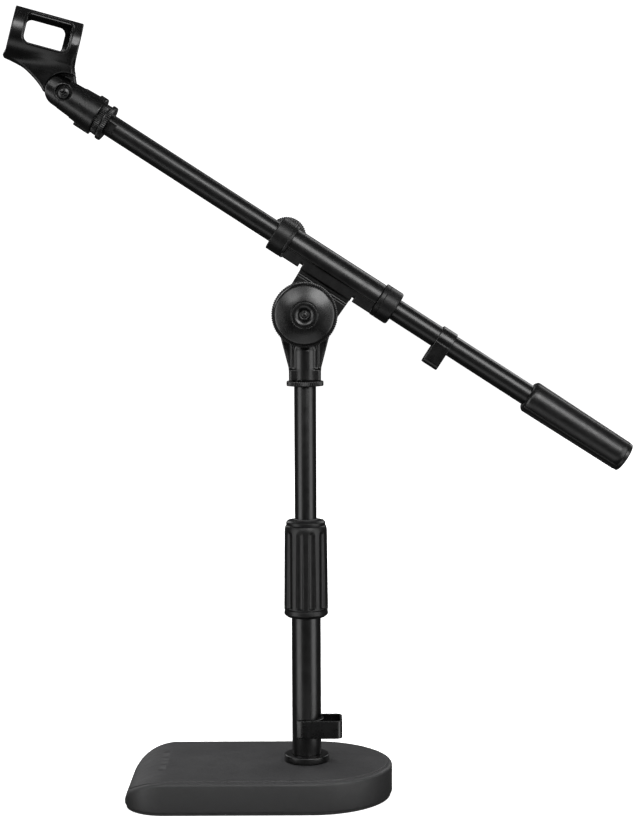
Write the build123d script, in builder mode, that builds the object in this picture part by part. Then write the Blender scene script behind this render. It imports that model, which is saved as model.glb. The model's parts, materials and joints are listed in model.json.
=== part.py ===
"""Desktop boom stand for a microphone: a cast base, a two-part telescoping post, a tilting boom and a mic clip.

Millimetres. The origin is on the post axis where the base pad meets the desk, +Z is up and +X runs along
the base towards its round end. The boom lies in the XZ plane at rest and falls towards +X.
"""

import os
from math import cos, pi, radians, sin

from build123d import *

# ---------------------------------------------------------------- driving dimensions

FIT = 0.05  # radial gap of a running or fixed fit
tooth_crest = 0.12  # stock left on serrations for the turned rim to take off
GAP = 0.1  # face gap between pieces that turn on each other

# base
base_half_width = 60.0
base_round_centre = 3.0
base_left = -131.5
base_corner_radius = 30.0
base_top = 24.5
pad_thickness = 2.5
pad_inset = 1.2
roll_length = 33.0  # plan length of the rolled-over end
roll_half_axis = 34.0
rim_step = 0.8
rim_width = 3.6
rim_fillet = 2.6

# lower post
lower_radius = 10.75
lower_bore = 9.55
lower_tube_top = 168.0
plug_top = 44.5
collar_radius = 16.5
collar_top = 29.8
base_bolt_radius = 5.0
bolt_recess_radius = 13.0
bolt_recess_depth = 10.0
washer_thickness = 2.0

# clutch
clutch_bottom = 132.0
clutch_band_top = 137.6
clutch_grip_top = 199.6
clutch_top = 203.2
clutch_radius_low = 16.2
clutch_radius_high = 15.6
clutch_flutes = 11
insert_radius = 13.5

# upper post
upper_radius = 8.0
upper_bore = 6.8
upper_bottom = 112.0
upper_top = 301.3
bush_height = 14.0
stud_radius = 6.0
lock_ring_radius = 13.5
lock_ring_height = 3.7
ring_teeth = 54

# tilt pivot
pivot_height = 353.5
pivot_bolt_radius = 5.0
yoke_half_thickness = 5.6
yoke_head_radius = 19.5
yoke_foot_half_width = 11.25
boss_radius = 9.4
boss_top = 332.0
disc_thickness = 0.9
sheet = 1.6
tilt_knob_radius = 24.0
tilt_knob_teeth = 90

# boom
boom_angle = 33.0
boom_offset = 38.3  # from the pivot to the boom axis
boom_radius = 8.0
boom_bore = 6.8
liner_radius = 9.65
sleeve_radius = 11.3
sleeve_left = -37.8
sleeve_right = 38.8
rear_cap_left = -50.1
front_cap_right = 53.2
front_cap_radius = 12.8
rear_cap_radius = 13.3
lock_screw_at = -41.8
lock_turn = 6.0  # the lock screw leans up from straight back
lock_knob_radius = 14.3
lock_knob_teeth = 54
tip = -192.3
boom_end = 215.0
grip_left = 168.4
grip_right = 250.0
grip_radius_left = 12.1
grip_radius_right = 11.5
tip_stud_radius = 4.76

# mic holder
socket_end = -243.5
socket_start = -201.4
socket_rise = 0.8  # the socket's middle above the boom axis
socket_half_height_thin = 10.8
socket_half_height_wide = 13.7
clip_screw_at = -230.0
clip_screw_rise = 1.6
clip_screw_radius = 2.5
ear_reach = 14.2  # the thick neck of the clip stays outside this radius
tongue_half_thickness = 4.6
clip_angle = 14.6
clip_yaw = 10.5
barrel_rise = 33.7
barrel_radius = 19.7
barrel_bore = 17.0
barrel_left = -48.9
barrel_right = 0.6

os.makedirs("parts", exist_ok=True)

# ---------------------------------------------------------------- frames

tilt = radians(boom_angle)
boom_dir = Vector(cos(tilt), 0, -sin(tilt))
boom_up = Vector(sin(tilt), 0, cos(tilt))
pivot = Vector(0, 0, pivot_height)
boom_foot = pivot + boom_up * boom_offset
front = Vector(0, -1, 0)

boom_side = Plane(origin=boom_foot, x_dir=boom_dir, z_dir=front)


def along_boom(station):
    """Plane across the boom; its x axis points up, away from the pivot."""
    return Plane(origin=boom_foot + boom_dir * station, x_dir=boom_up, z_dir=boom_dir)


def across(origin, depth=0.0):
    """Plane facing the front at a place on the XZ plane; depth is measured towards the front."""
    return Plane(origin=origin + front * depth, x_dir=(1, 0, 0), z_dir=front)


lock_place = boom_foot + boom_dir * lock_screw_at
lock_back = boom_up * sin(radians(lock_turn)) - front * cos(radians(lock_turn))


def behind(depth):
    """Plane across the lock screw, facing backwards at a distance from the boom axis."""
    return Plane(origin=lock_place + lock_back * depth, x_dir=boom_dir, z_dir=lock_back)


clip_pivot = boom_foot + boom_dir * clip_screw_at + boom_up * clip_screw_rise
clip_tilt = radians(clip_angle)
clip_dir = Vector(cos(clip_tilt), 0, -sin(clip_tilt))
clip_up = Vector(sin(clip_tilt), 0, cos(clip_tilt))
clip_side = Plane(origin=clip_pivot, x_dir=clip_dir, z_dir=front)

# ---------------------------------------------------------------- shared makers


def save(piece, name):
    piece.part.label = name
    export_step(piece.part, f"parts/{name}.step")


def turned(plane, outline):
    """Solid of revolution about the plane's normal; the outline is (height, radius) points."""
    section = Plane(origin=plane.origin, x_dir=plane.z_dir, z_dir=plane.x_dir)
    with BuildPart() as piece:
        with BuildSketch(section):
            with BuildLine():
                Polyline(*outline, close=True)
            make_face()
        revolve(axis=Axis(plane.origin, plane.z_dir))
    return piece


def sleeve(plane, length, outer, inner, chamfer_size=0.0):
    """Plain tube, with an optional chamfer on both outer edges."""
    c = chamfer_size
    outline = [(0, inner), (0, outer - c), (c, outer), (length - c, outer), (length, outer - c), (length, inner)]
    if not c:
        outline = [(0, inner), (0, outer), (length, outer), (length, inner)]
    return turned(plane, outline)


def rod(plane, length, radius, chamfer_size=0.0):
    """Plain round bar, with an optional chamfer on both edges."""
    c = chamfer_size
    outline = [(0, 0), (0, radius - c), (c, radius), (length - c, radius), (length, radius - c), (length, 0)]
    if not c:
        outline = [(0, 0), (0, radius), (length, radius), (length, 0)]
    return turned(plane, outline)


def toothed(plane, length, radius, depth, teeth):
    """Prism with fine V serrations all round, standing a little proud so a turned rim can flatten them."""
    steps = 2 * teeth
    points = []
    for step in range(steps):
        reach = radius + tooth_crest - depth * (step % 2)
        angle = 2 * pi * step / steps
        points.append((reach * cos(angle), reach * sin(angle)))
    with BuildPart() as piece:
        with BuildSketch(plane):
            with BuildLine():
                Polyline(*points, close=True)
            make_face()
        extrude(amount=length)
    return piece.part


# ---------------------------------------------------------------- base


def slab(inset, drop, bottom, top):
    """Base block: straight rolled end on the left, round end on the right, inset from its outline."""
    half = base_half_width - inset
    left = base_left + inset
    corner = base_corner_radius - inset
    roof = base_top - drop
    roll_height = roof - pad_thickness
    roll_start = base_left + roll_length
    with BuildPart() as block:
        with BuildSketch(Plane.XZ):
            with BuildLine():
                arc = EllipticalCenterArc(
                    (roll_start, pad_thickness), roll_half_axis, roll_height, start_angle=90, arc_size=90
                )
                Polyline(
                    arc @ 1,
                    ((arc @ 1).X, bottom),
                    (base_round_centre + base_half_width + 5, bottom),
                    (base_round_centre + base_half_width + 5, roof),
                    arc @ 0,
                )
            make_face()
        extrude(amount=base_half_width + 5, both=True)
        with BuildSketch(Plane.XY.offset(bottom)):
            with Locations((base_round_centre, 0)):
                Circle(half)
            with Locations(((left + corner + base_round_centre) / 2, 0)):
                Rectangle(base_round_centre - left - corner, 2 * half)
            with Locations((left + corner, 0)):
                Rectangle(2 * corner, 2 * (half - corner))
            with Locations((left + corner, half - corner), (left + corner, corner - half)):
                Circle(corner)
        extrude(amount=top, mode=Mode.INTERSECT)
    return block.part


def on_rim(edge):
    """True for the upper edges that follow the slab's outline."""
    middle = edge.position_at(0.5)
    inside = abs(middle.Y) < base_half_width * 0.75 and base_left + 1 < middle.X < base_round_centre + 50
    return middle.Z > pad_thickness + 3 and not inside


lower_slab = slab(0, rim_step, pad_thickness, base_top + 5)
raised_plate = slab(rim_width, 0, pad_thickness, base_top + 5)
with BuildPart() as base_weight:
    add(lower_slab)
    fillet(base_weight.edges().filter_by(on_rim), rim_fillet)
    add(raised_plate)
    with BuildSketch(Plane.XY.offset(pad_thickness)):
        Circle(base_bolt_radius + 0.5)
    extrude(amount=base_top, mode=Mode.SUBTRACT)
    with BuildSketch(Plane.XY.offset(pad_thickness)):
        Circle(bolt_recess_radius)
    extrude(amount=bolt_recess_depth, mode=Mode.SUBTRACT)
save(base_weight, "base_weight")

pad_sheet = slab(pad_inset, 0, 0, pad_thickness)
with BuildPart() as base_pad:
    add(pad_sheet)
save(base_pad, "base_pad")

head_top = pad_thickness + bolt_recess_depth - washer_thickness
base_washer = sleeve(
    Plane.XY.offset(head_top), washer_thickness, bolt_recess_radius - 1, base_bolt_radius + 0.4
)
save(base_washer, "base_washer")

with BuildPart() as base_bolt:
    with BuildSketch(Plane.XY.offset(pad_thickness + 0.6)):
        RegularPolygon(radius=9.8, side_count=6)
    extrude(amount=head_top - pad_thickness - 0.6)
    with BuildSketch(Plane.XY.offset(head_top)):
        Circle(base_bolt_radius)
    extrude(amount=plug_top - 4 - head_top)
    chamfer(base_bolt.faces().sort_by(Axis.Z)[-1].edges(), 1)
save(base_bolt, "base_bolt")

foot = Plane.XY.offset(base_top)
tube_foot_plug = sleeve(foot, plug_top - base_top, lower_bore - FIT, base_bolt_radius + FIT)
save(tube_foot_plug, "tube_foot_plug")
foot_collar = sleeve(foot, collar_top - base_top, collar_radius, lower_radius + FIT, chamfer_size=0.5)
save(foot_collar, "foot_collar")
lower_tube = sleeve(foot, lower_tube_top - base_top, lower_radius, lower_bore)
save(lower_tube, "lower_tube")

# ---------------------------------------------------------------- clutch

insert_bottom = 146.0
insert_top = 172.0
collet_bottom = insert_top + GAP
collet_cone_top = 196.0
collet_top = clutch_top + 1.0
collet_radius_low = 12.3
collet_radius_high = 10.6
collet_neck_radius = 8.8
grip_clearance = 0.3

clutch_insert = turned(
    Plane.XY,
    [
        (insert_bottom, lower_radius + FIT),
        (insert_bottom, insert_radius),
        (insert_top, insert_radius),
        (insert_top, upper_radius + 0.15),
        (lower_tube_top + FIT, upper_radius + 0.15),
        (lower_tube_top + FIT, lower_radius + FIT),
    ],
)
save(clutch_insert, "clutch_insert")

collet_blank = turned(
    Plane.XY,
    [
        (collet_bottom, upper_radius + FIT),
        (collet_bottom, collet_radius_low),
        (collet_cone_top, collet_radius_high),
        (collet_cone_top, collet_neck_radius),
        (collet_top - 0.4, collet_neck_radius),
        (collet_top, collet_neck_radius - 0.4),
        (collet_top, upper_radius + FIT),
    ],
)
with BuildPart() as clutch_collet:
    add(collet_blank.part)
    with BuildSketch(Plane.XY.offset(collet_bottom + 4)):
        Rectangle(30, 1.2)
        Rectangle(1.2, 30)
    extrude(amount=collet_cone_top - collet_bottom - 5, mode=Mode.SUBTRACT)
save(clutch_collet, "clutch_collet")

flute_radius = 4.2
flute_depth = 1.15
flute_foot = clutch_band_top + 1.2
flute_head = clutch_grip_top - 6.5
flute_centre = (clutch_radius_low + clutch_radius_high) / 2 - flute_depth + flute_radius
first_flute = -90 + 180 / clutch_flutes
inner_cone = grip_clearance + 0.1

with BuildPart() as clutch_grip:
    with BuildSketch(Plane.XZ):
        with BuildLine():
            shoulder_start = (clutch_radius_high, clutch_grip_top - 5)
            shoulder_end = (clutch_radius_high - 0.9, clutch_grip_top)
            ThreePointArc(
                shoulder_start, (clutch_radius_high - 0.25, clutch_grip_top - 2.2), shoulder_end
            )
            Polyline(
                shoulder_start,
                (clutch_radius_low, clutch_band_top),
                (insert_radius + grip_clearance, clutch_band_top),
                (insert_radius + grip_clearance, insert_top + 2),
                (collet_radius_low + inner_cone, insert_top + 2.5),
                (collet_radius_high + inner_cone, collet_cone_top),
                (collet_radius_high + inner_cone, clutch_grip_top),
                shoulder_end,
            )
        make_face()
    revolve(axis=Axis.Z)
    with BuildSketch(Plane.XY.offset(flute_foot)):
        with PolarLocations(flute_centre, clutch_flutes, start_angle=first_flute):
            Circle(flute_radius)
    extrude(amount=flute_head - flute_foot, mode=Mode.SUBTRACT)
    with Locations((0, 0, flute_head)):
        with PolarLocations(flute_centre, clutch_flutes, start_angle=first_flute):
            Sphere(flute_radius, mode=Mode.SUBTRACT)
save(clutch_grip, "clutch_grip")

clutch_base_ring = turned(
    Plane.XY,
    [
        (clutch_bottom, lower_radius + 0.4),
        (clutch_bottom, clutch_radius_low - 2.4),
        (clutch_bottom + 1.8, clutch_radius_low),
        (clutch_band_top - 0.3, clutch_radius_low),
        (clutch_band_top, clutch_radius_low - 0.3),
        (clutch_band_top, insert_radius + 0.2),
        (clutch_band_top + 4, insert_radius + 0.2),
        (clutch_band_top + 4, lower_radius + 0.4),
    ],
)
save(clutch_base_ring, "clutch_base_ring")
clutch_top_ring = turned(
    Plane.XY,
    [
        (collet_cone_top + 0.6, collet_neck_radius + grip_clearance),
        (collet_cone_top + 0.6, collet_radius_high + grip_clearance),
        (clutch_grip_top, collet_radius_high + grip_clearance),
        (clutch_grip_top, clutch_radius_high - 1.2),
        (clutch_top - 1.4, clutch_radius_high - 1.3),
        (clutch_top, clutch_radius_high - 2.4),
        (clutch_top, collet_neck_radius + grip_clearance),
    ],
)
save(clutch_top_ring, "clutch_top_ring")

# ---------------------------------------------------------------- upper post

upper_tube = sleeve(Plane.XY.offset(upper_bottom), upper_top - upper_bottom, upper_radius, upper_bore)
save(upper_tube, "upper_tube")

bush_radius = lower_bore - 2 * FIT
guide_bush = turned(
    Plane.XY,
    [
        (upper_bottom - 2.5, upper_bore),
        (upper_bottom - 2.5, bush_radius - 0.6),
        (upper_bottom - 1.9, bush_radius),
        (upper_bottom + bush_height, bush_radius),
        (upper_bottom + bush_height, upper_radius + FIT),
        (upper_bottom - GAP, upper_radius + FIT),
        (upper_bottom - GAP, upper_bore),
    ],
)
save(guide_bush, "guide_bush")

lock_ring_bottom = upper_top + GAP
yoke_bottom = lock_ring_bottom + lock_ring_height + GAP
stud_top = yoke_bottom + 19
riser_stud = turned(
    Plane.XY,
    [
        (upper_top - 20, 0),
        (upper_top - 20, upper_bore - FIT),
        (upper_top, upper_bore - FIT),
        (upper_top, stud_radius),
        (stud_top - 1, stud_radius),
        (stud_top, stud_radius - 1),
        (stud_top, 0),
    ],
)
save(riser_stud, "riser_stud")


def knurled_ring(plane, height, radius, bore):
    """Knurled lock ring with bevelled edges."""
    bevel = 0.7
    outline = [(0, bore), (0, radius - bevel), (bevel, radius), (height - bevel, radius)]
    outline += [(height, radius - bevel), (height, bore)]
    teeth = toothed(plane, height, radius, 0.4, ring_teeth)
    body = turned(plane, outline).part
    with BuildPart() as ring:
        add(teeth)
        add(body, mode=Mode.INTERSECT)
    return ring


riser_lock_ring = knurled_ring(
    Plane.XY.offset(lock_ring_bottom), lock_ring_height, lock_ring_radius, stud_radius + FIT
)
save(riser_lock_ring, "riser_lock_ring")

yoke_waist = yoke_bottom + 7
yoke_shoulder = 336.5
yoke_shoulder_half_width = 17.5
yoke_foot_depth = 15.2
with BuildPart() as swivel_yoke:
    with BuildSketch(Plane.XZ):
        with BuildLine():
            Polyline(
                (-yoke_foot_half_width, yoke_bottom),
                (yoke_foot_half_width, yoke_bottom),
                (yoke_foot_half_width, yoke_waist),
                (yoke_shoulder_half_width, yoke_shoulder),
                (yoke_head_radius, pivot_height),
                (-yoke_head_radius, pivot_height),
                (-yoke_shoulder_half_width, yoke_shoulder),
                (-yoke_foot_half_width, yoke_waist),
                close=True,
            )
        make_face()
        with Locations((0, pivot_height)):
            Circle(yoke_head_radius)
    extrude(amount=yoke_half_thickness, both=True)
    with BuildSketch(Plane.XY.offset(yoke_bottom)):
        RectangleRounded(2 * yoke_foot_half_width, yoke_foot_depth, 2)
        Circle(boss_radius)
    extrude(amount=boss_top - yoke_bottom)
    with BuildSketch(Plane.XY.offset(yoke_bottom)):
        Circle(stud_radius + FIT)
    extrude(amount=stud_top + 1 - yoke_bottom, mode=Mode.SUBTRACT)
    with BuildSketch(Plane.XZ):
        with Locations((0, pivot_height)):
            Circle(pivot_bolt_radius + FIT)
    extrude(amount=20, both=True, mode=Mode.SUBTRACT)
save(swivel_yoke, "swivel_yoke")

# ---------------------------------------------------------------- tilt pivot

plate_inner = yoke_half_thickness + disc_thickness + 2 * FIT
plate_outer = plate_inner + sheet
keel_inner = plate_inner + 0.8

with BuildPart() as friction_discs:
    for side in (-1, 1):
        with BuildSketch(across(pivot, side * (yoke_half_thickness + FIT))):
            Circle(yoke_head_radius - 2)
            Circle(pivot_bolt_radius + 0.2, mode=Mode.SUBTRACT)
        extrude(amount=side * disc_thickness)
save(friction_discs, "friction_discs")

keel_depth = -12.4
keel_root = -4.0
plate_left = -20.3
plate_right = 21.9
plate_round = 19.0
plate_shoulder = keel_depth - 15
keel_runs = [(-36.5, -22.9), (plate_left, plate_right), (23.8, sleeve_right)]

with BuildPart() as boom_strap:
    with BuildSketch(along_boom(sleeve_left)):
        Circle(sleeve_radius)
        with Locations((-sleeve_radius, 0)):
            Rectangle(2 * sleeve_radius, 2 * keel_inner, mode=Mode.SUBTRACT)
    extrude(amount=sleeve_right - sleeve_left)
    for run_start, run_end in keel_runs:
        with BuildSketch(along_boom(run_start)):
            keel_middle = (keel_depth + keel_root) / 2
            with Locations((keel_middle, keel_inner + sheet / 2), (keel_middle, -keel_inner - sheet / 2)):
                Rectangle(keel_root - keel_depth, sheet)
        extrude(amount=run_end - run_start)
    for side in (-1, 1):
        with BuildSketch(boom_side.offset(side * plate_inner)):
            with BuildLine():
                Polyline(
                    (plate_left, keel_depth + 4),
                    (plate_right, keel_depth + 4),
                    (plate_right - 0.8, plate_shoulder),
                    (plate_round, -boom_offset),
                    (-plate_round, -boom_offset),
                    (plate_left + 0.6, plate_shoulder),
                    close=True,
                )
            make_face()
            with Locations((0, -boom_offset)):
                Circle(plate_round)
                Circle(pivot_bolt_radius + FIT, mode=Mode.SUBTRACT)
        extrude(amount=side * sheet)
    with BuildSketch(along_boom(sleeve_left - 1)):
        Circle(liner_radius + FIT)
    extrude(amount=sleeve_right - sleeve_left + 2, mode=Mode.SUBTRACT)
save(boom_strap, "boom_strap")

washer_back = plate_outer + FIT
pivot_washer_thickness = 1.5
pivot_washer = sleeve(across(pivot, washer_back), pivot_washer_thickness, 11.0, pivot_bolt_radius + 0.2)
save(pivot_washer, "pivot_washer")

pivot_bolt_end = 21.0
with BuildPart() as pivot_bolt:
    with BuildSketch(across(pivot, -plate_outer - FIT)):
        Circle(9)
    extrude(amount=-3.6)
    fillet(pivot_bolt.faces().sort_by(Axis.Y)[-1].edges(), 2.4)
    with BuildSketch(across(pivot, -plate_outer - FIT)):
        Circle(pivot_bolt_radius)
    extrude(amount=plate_outer + FIT + pivot_bolt_end)
save(pivot_bolt, "pivot_bolt")


def dished_knob(base, radius, depth, rim_height, hub_radius, teeth, face_radius, bore, bore_depth):
    """Round knob on the plane `base`: serrated rim, domed front, ring groove and a dimple with a nub."""
    section = Plane(origin=base.origin, x_dir=base.z_dir, z_dir=base.x_dir)
    rim_start = depth * 0.14
    dome_start = rim_start + rim_height
    dome_radius = radius - 0.9
    dome_height = depth - dome_start
    groove = 0.45
    dimple = face_radius * 0.76
    serrated = toothed(base, depth, radius, 0.55, teeth)
    with BuildPart() as knob:
        with BuildSketch(section):
            with BuildLine():
                Polyline(
                    (0, 0),
                    (0, hub_radius),
                    (rim_start, hub_radius + 0.6),
                    (rim_start, radius - 0.6),
                    (rim_start + 0.6, radius),
                    (dome_start - 0.5, radius),
                    (dome_start, dome_radius),
                )
                ThreePointArc(
                    (dome_start, dome_radius),
                    (dome_start + dome_height * 0.70, face_radius + (dome_radius - face_radius) * 0.63),
                    (depth, face_radius + groove),
                )
                Polyline(
                    (depth, face_radius + groove),
                    (depth - groove, face_radius),
                    (depth, face_radius - groove),
                    (depth, dimple),
                )
                ThreePointArc((depth, dimple), (depth - 2.0, dimple * 0.62), (depth - 2.8, dimple * 0.22))
                Polyline(
                    (depth - 2.8, dimple * 0.22),
                    (depth - 2.25, dimple * 0.20),
                    (depth - 2.0, dimple * 0.12),
                    (depth - 2.0, 0),
                    (0, 0),
                )
            make_face()
        revolve(axis=Axis(base.origin, base.z_dir))
        add(serrated, mode=Mode.INTERSECT)
        with BuildSketch(base):
            Circle(bore)
        extrude(amount=bore_depth, mode=Mode.SUBTRACT)
    return knob


knob_back = washer_back + pivot_washer_thickness + GAP
knob_depth = 17.5
nut_height = 8.0
nut_radius = 8.8  # across corners
with BuildPart() as tilt_knob_nut:
    with BuildSketch(across(pivot, knob_back + 0.8)):
        RegularPolygon(radius=nut_radius, side_count=6)
        Circle(pivot_bolt_radius + FIT, mode=Mode.SUBTRACT)
    extrude(amount=nut_height)
save(tilt_knob_nut, "tilt_knob_nut")

knob_blank = dished_knob(
    across(pivot, knob_back),
    radius=tilt_knob_radius,
    depth=knob_depth,
    rim_height=5.2,
    hub_radius=12.5,
    teeth=tilt_knob_teeth,
    face_radius=9.7,
    bore=pivot_bolt_radius + 0.3,
    bore_depth=pivot_bolt_end + 0.6 - knob_back,
)
with BuildPart() as tilt_knob:
    add(knob_blank.part)
    with BuildSketch(across(pivot, knob_back)):
        RegularPolygon(radius=nut_radius + FIT, side_count=6)
    extrude(amount=nut_height + 0.8, mode=Mode.SUBTRACT)
save(tilt_knob, "tilt_knob")

# ---------------------------------------------------------------- sleeve on the boom

liner_bore = boom_radius + FIT
liner_left = rear_cap_left + 4.0
liner_right = front_cap_right - 4.0
pad_radius = 3.0
pad_outer = 11.4

with BuildPart() as sleeve_liner:
    with BuildSketch(along_boom(liner_left)):
        Circle(liner_radius)
        Circle(liner_bore, mode=Mode.SUBTRACT)
    extrude(amount=liner_right - liner_left)
    with BuildSketch(behind(0)):
        Circle(pad_radius + 0.15)
    extrude(amount=liner_radius + 5, mode=Mode.SUBTRACT)
save(sleeve_liner, "sleeve_liner")

lock_boss_radius = 5.6
lock_boss_end = 16.6
lock_insert_radius = 4.4
lip_radius = boom_radius + 0.3
rear_outline = [
    (0, lip_radius),
    (0, rear_cap_radius - 0.9),
    (0.3, rear_cap_radius - 0.25),
    (0.9, rear_cap_radius),
    (sleeve_left - rear_cap_left - 0.4, rear_cap_radius),
    (sleeve_left - rear_cap_left - GAP, rear_cap_radius - 0.4),
    (sleeve_left - rear_cap_left - GAP, liner_radius + FIT),
    (liner_left - rear_cap_left - FIT, liner_radius + FIT),
    (liner_left - rear_cap_left - FIT, lip_radius),
]
rear_blank = turned(along_boom(rear_cap_left), rear_outline)
with BuildPart() as sleeve_cap_rear:
    add(rear_blank.part)
    with BuildSketch(behind(sleeve_radius + 0.2)):
        Circle(lock_boss_radius)
    extrude(amount=lock_boss_end - sleeve_radius - 0.2)
    with BuildSketch(behind(0)):
        Circle(pad_radius + 0.15)
    extrude(amount=lock_boss_end + 1, mode=Mode.SUBTRACT)
    with BuildSketch(behind(pad_outer)):
        Circle(lock_insert_radius + FIT)
    extrude(amount=lock_boss_end + 1 - pad_outer, mode=Mode.SUBTRACT)
save(sleeve_cap_rear, "sleeve_cap_rear")

front_length = front_cap_right - sleeve_right - GAP
cap_round = 2.8
front_centre = front_length - cap_round
liner_reach = liner_right - sleeve_right - GAP + FIT
with BuildPart() as sleeve_cap_front:
    start = along_boom(sleeve_right + GAP)
    with BuildSketch(Plane(origin=start.origin, x_dir=start.z_dir, z_dir=start.x_dir)):
        with BuildLine():
            Polyline(
                (front_centre, front_cap_radius),
                (0.4, front_cap_radius),
                (0, front_cap_radius - 0.4),
                (0, liner_radius + FIT),
                (liner_reach, liner_radius + FIT),
                (liner_reach, lip_radius),
                (front_length, lip_radius),
                (front_length, front_cap_radius - cap_round),
            )
            RadiusArc((front_centre, front_cap_radius), (front_length, front_cap_radius - cap_round), cap_round)
        make_face()
    revolve(axis=Axis(start.origin, start.z_dir))
save(sleeve_cap_front, "sleeve_cap_front")

with BuildPart() as lock_pad:
    with BuildSketch(behind(0)):
        Circle(pad_radius)
    extrude(amount=pad_outer)
    with BuildSketch(along_boom(lock_screw_at - 5)):
        Circle(boom_radius + FIT)
    extrude(amount=10, mode=Mode.SUBTRACT)
save(lock_pad, "lock_pad")

lock_insert = sleeve(
    behind(pad_outer + FIT), lock_boss_end - pad_outer - FIT, lock_insert_radius, pad_radius + FIT
)
save(lock_insert, "lock_insert")

lock_knob_depth = 11.5
lock_knob_back = lock_boss_end + 0.4
boom_lock_knob = dished_knob(
    behind(lock_knob_back),
    radius=lock_knob_radius,
    depth=lock_knob_depth,
    rim_height=5.0,
    hub_radius=7.0,
    teeth=lock_knob_teeth,
    face_radius=6.4,
    bore=pad_radius + FIT,
    bore_depth=7.5,
)
save(boom_lock_knob, "boom_lock_knob")
lock_knob_screw = rod(behind(pad_outer + 0.2), lock_knob_back - pad_outer + 7.0, pad_radius, chamfer_size=0.4)
save(lock_knob_screw, "lock_knob_screw")

# ---------------------------------------------------------------- boom

notch_length = 6.6
notch_half_width = 3.3
notch_centre = -0.9
with BuildPart() as boom_tube:
    with BuildSketch(along_boom(tip)):
        Circle(boom_radius)
        Circle(boom_bore, mode=Mode.SUBTRACT)
    extrude(amount=boom_end - tip)
    with BuildSketch(boom_side):
        with Locations((tip + notch_length / 2, notch_centre)):
            Rectangle(notch_length, 2 * notch_half_width)
    extrude(amount=boom_radius + 1, mode=Mode.SUBTRACT)
save(boom_tube, "boom_tube")

tip_plug_length = 24.0
stud_reach = 21.5
tip_blank = turned(
    along_boom(tip - stud_reach),
    [
        (0, 0),
        (0, tip_stud_radius - 0.8),
        (0.8, tip_stud_radius),
        (stud_reach, tip_stud_radius),
        (stud_reach, boom_bore - FIT),
        (stud_reach + tip_plug_length, boom_bore - FIT),
        (stud_reach + tip_plug_length, 0),
    ],
)
with BuildPart() as tip_stud:
    add(tip_blank.part)
    with BuildSketch(boom_side.offset(4.5)):
        with Locations((tip + notch_length / 2 - 0.2, notch_centre)):
            Rectangle(notch_length - 0.8, 2 * notch_half_width - 0.6)
    extrude(amount=boom_radius - 1.2 - 4.5)
save(tip_stud, "tip_stud")

ring_left = -196.0
hub_radius = 12.0
hub_left = socket_start + GAP
tip_ring_blank = knurled_ring(
    along_boom(ring_left), tip - ring_left - GAP, lock_ring_radius, tip_stud_radius + FIT
)
tip_hub = sleeve(along_boom(hub_left), ring_left - hub_left, hub_radius, tip_stud_radius + FIT)
with BuildPart() as tip_lock_ring:
    add(tip_ring_blank.part)
    add(tip_hub.part)
save(tip_lock_ring, "tip_lock_ring")


def cable_clip(plane, height, tube_radius, wall, reach, gap_angle, gap_half_angle):
    """Snap clip on a tube, with a flattened cable loop along the plane's x axis."""
    inner = tube_radius + FIT
    outer = inner + wall
    corner = wall + 2.6
    with BuildPart() as clip:
        with BuildSketch(plane):
            with Locations(((reach - 1) / 2 + 0.5, 0)):
                RectangleRounded(reach, 2 * outer, corner)
            with Locations(((reach - 1) / 2 + 0.5, 0)):
                RectangleRounded(reach - 2 * wall, 2 * (outer - wall), corner - wall, mode=Mode.SUBTRACT)
            Circle(outer)
            Circle(inner, mode=Mode.SUBTRACT)
            with BuildLine():
                far = 2 * outer
                lower = radians(gap_angle - gap_half_angle)
                upper = radians(gap_angle + gap_half_angle)
                Polyline(
                    (0, 0),
                    (far * cos(lower), far * sin(lower)),
                    (far * cos(upper), far * sin(upper)),
                    close=True,
                )
            make_face(mode=Mode.SUBTRACT)
        extrude(amount=height)
    return clip


post_clip_bottom = 43.2
post_clip_height = 13.3
post_cable_clip = cable_clip(
    Plane.XY.offset(post_clip_bottom), post_clip_height, lower_radius, 1.7, 26.2, gap_angle=180, gap_half_angle=52
)
save(post_cable_clip, "post_cable_clip")

boom_clip_left = 89.8
boom_clip_width = 12.0
hanging = Plane(origin=along_boom(boom_clip_left).origin, x_dir=-boom_up, z_dir=boom_dir)
boom_cable_clip = cable_clip(
    hanging, boom_clip_width, boom_radius, 1.3, 21.0, gap_angle=90, gap_half_angle=42
)
save(boom_cable_clip, "boom_cable_clip")

# ---------------------------------------------------------------- counterweight grip

grip_lands = 8
core_radius = 9.0
grip_length = grip_right - grip_left
grip_blank = turned(
    along_boom(grip_left),
    [
        (0, boom_radius + FIT),
        (0, grip_radius_left - 2.0),
        (1.4, grip_radius_left - 0.9),
        (2.6, grip_radius_left),
        (grip_length, grip_radius_right),
        (grip_length, core_radius + FIT),
        (boom_end - grip_left + 0.5, core_radius + FIT),
        (boom_end - grip_left + 0.5, boom_radius + FIT),
    ],
)
groove_radius = 1.0
groove_centre = grip_radius_right + groove_radius - 0.7
with BuildPart() as grip_sleeve:
    add(grip_blank.part)
    with BuildSketch(along_boom(grip_left + 2.6)):
        with PolarLocations(groove_centre, grip_lands, start_angle=180 / grip_lands):
            Circle(groove_radius)
    extrude(amount=grip_length, mode=Mode.SUBTRACT)
save(grip_sleeve, "grip_sleeve")

counterweight = rod(along_boom(boom_end + 1), grip_right - boom_end - 4, core_radius, chamfer_size=0.5)
save(counterweight, "counterweight")

plug_spigot = 2.6
grip_end_plug = turned(
    along_boom(grip_right - plug_spigot),
    [
        (0, 0),
        (0, core_radius - FIT),
        (plug_spigot, core_radius - FIT),
        (plug_spigot, grip_radius_right - 0.1),
        (plug_spigot + 1.6, grip_radius_right - 0.3),
        (plug_spigot + 3.0, grip_radius_right - 1.1),
        (plug_spigot + 4.0, grip_radius_right - 2.6),
        (plug_spigot + 4.6, grip_radius_right - 5.0),
        (plug_spigot + 4.8, 0),
    ],
)
save(grip_end_plug, "grip_end_plug")

# ---------------------------------------------------------------- clip socket

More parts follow.
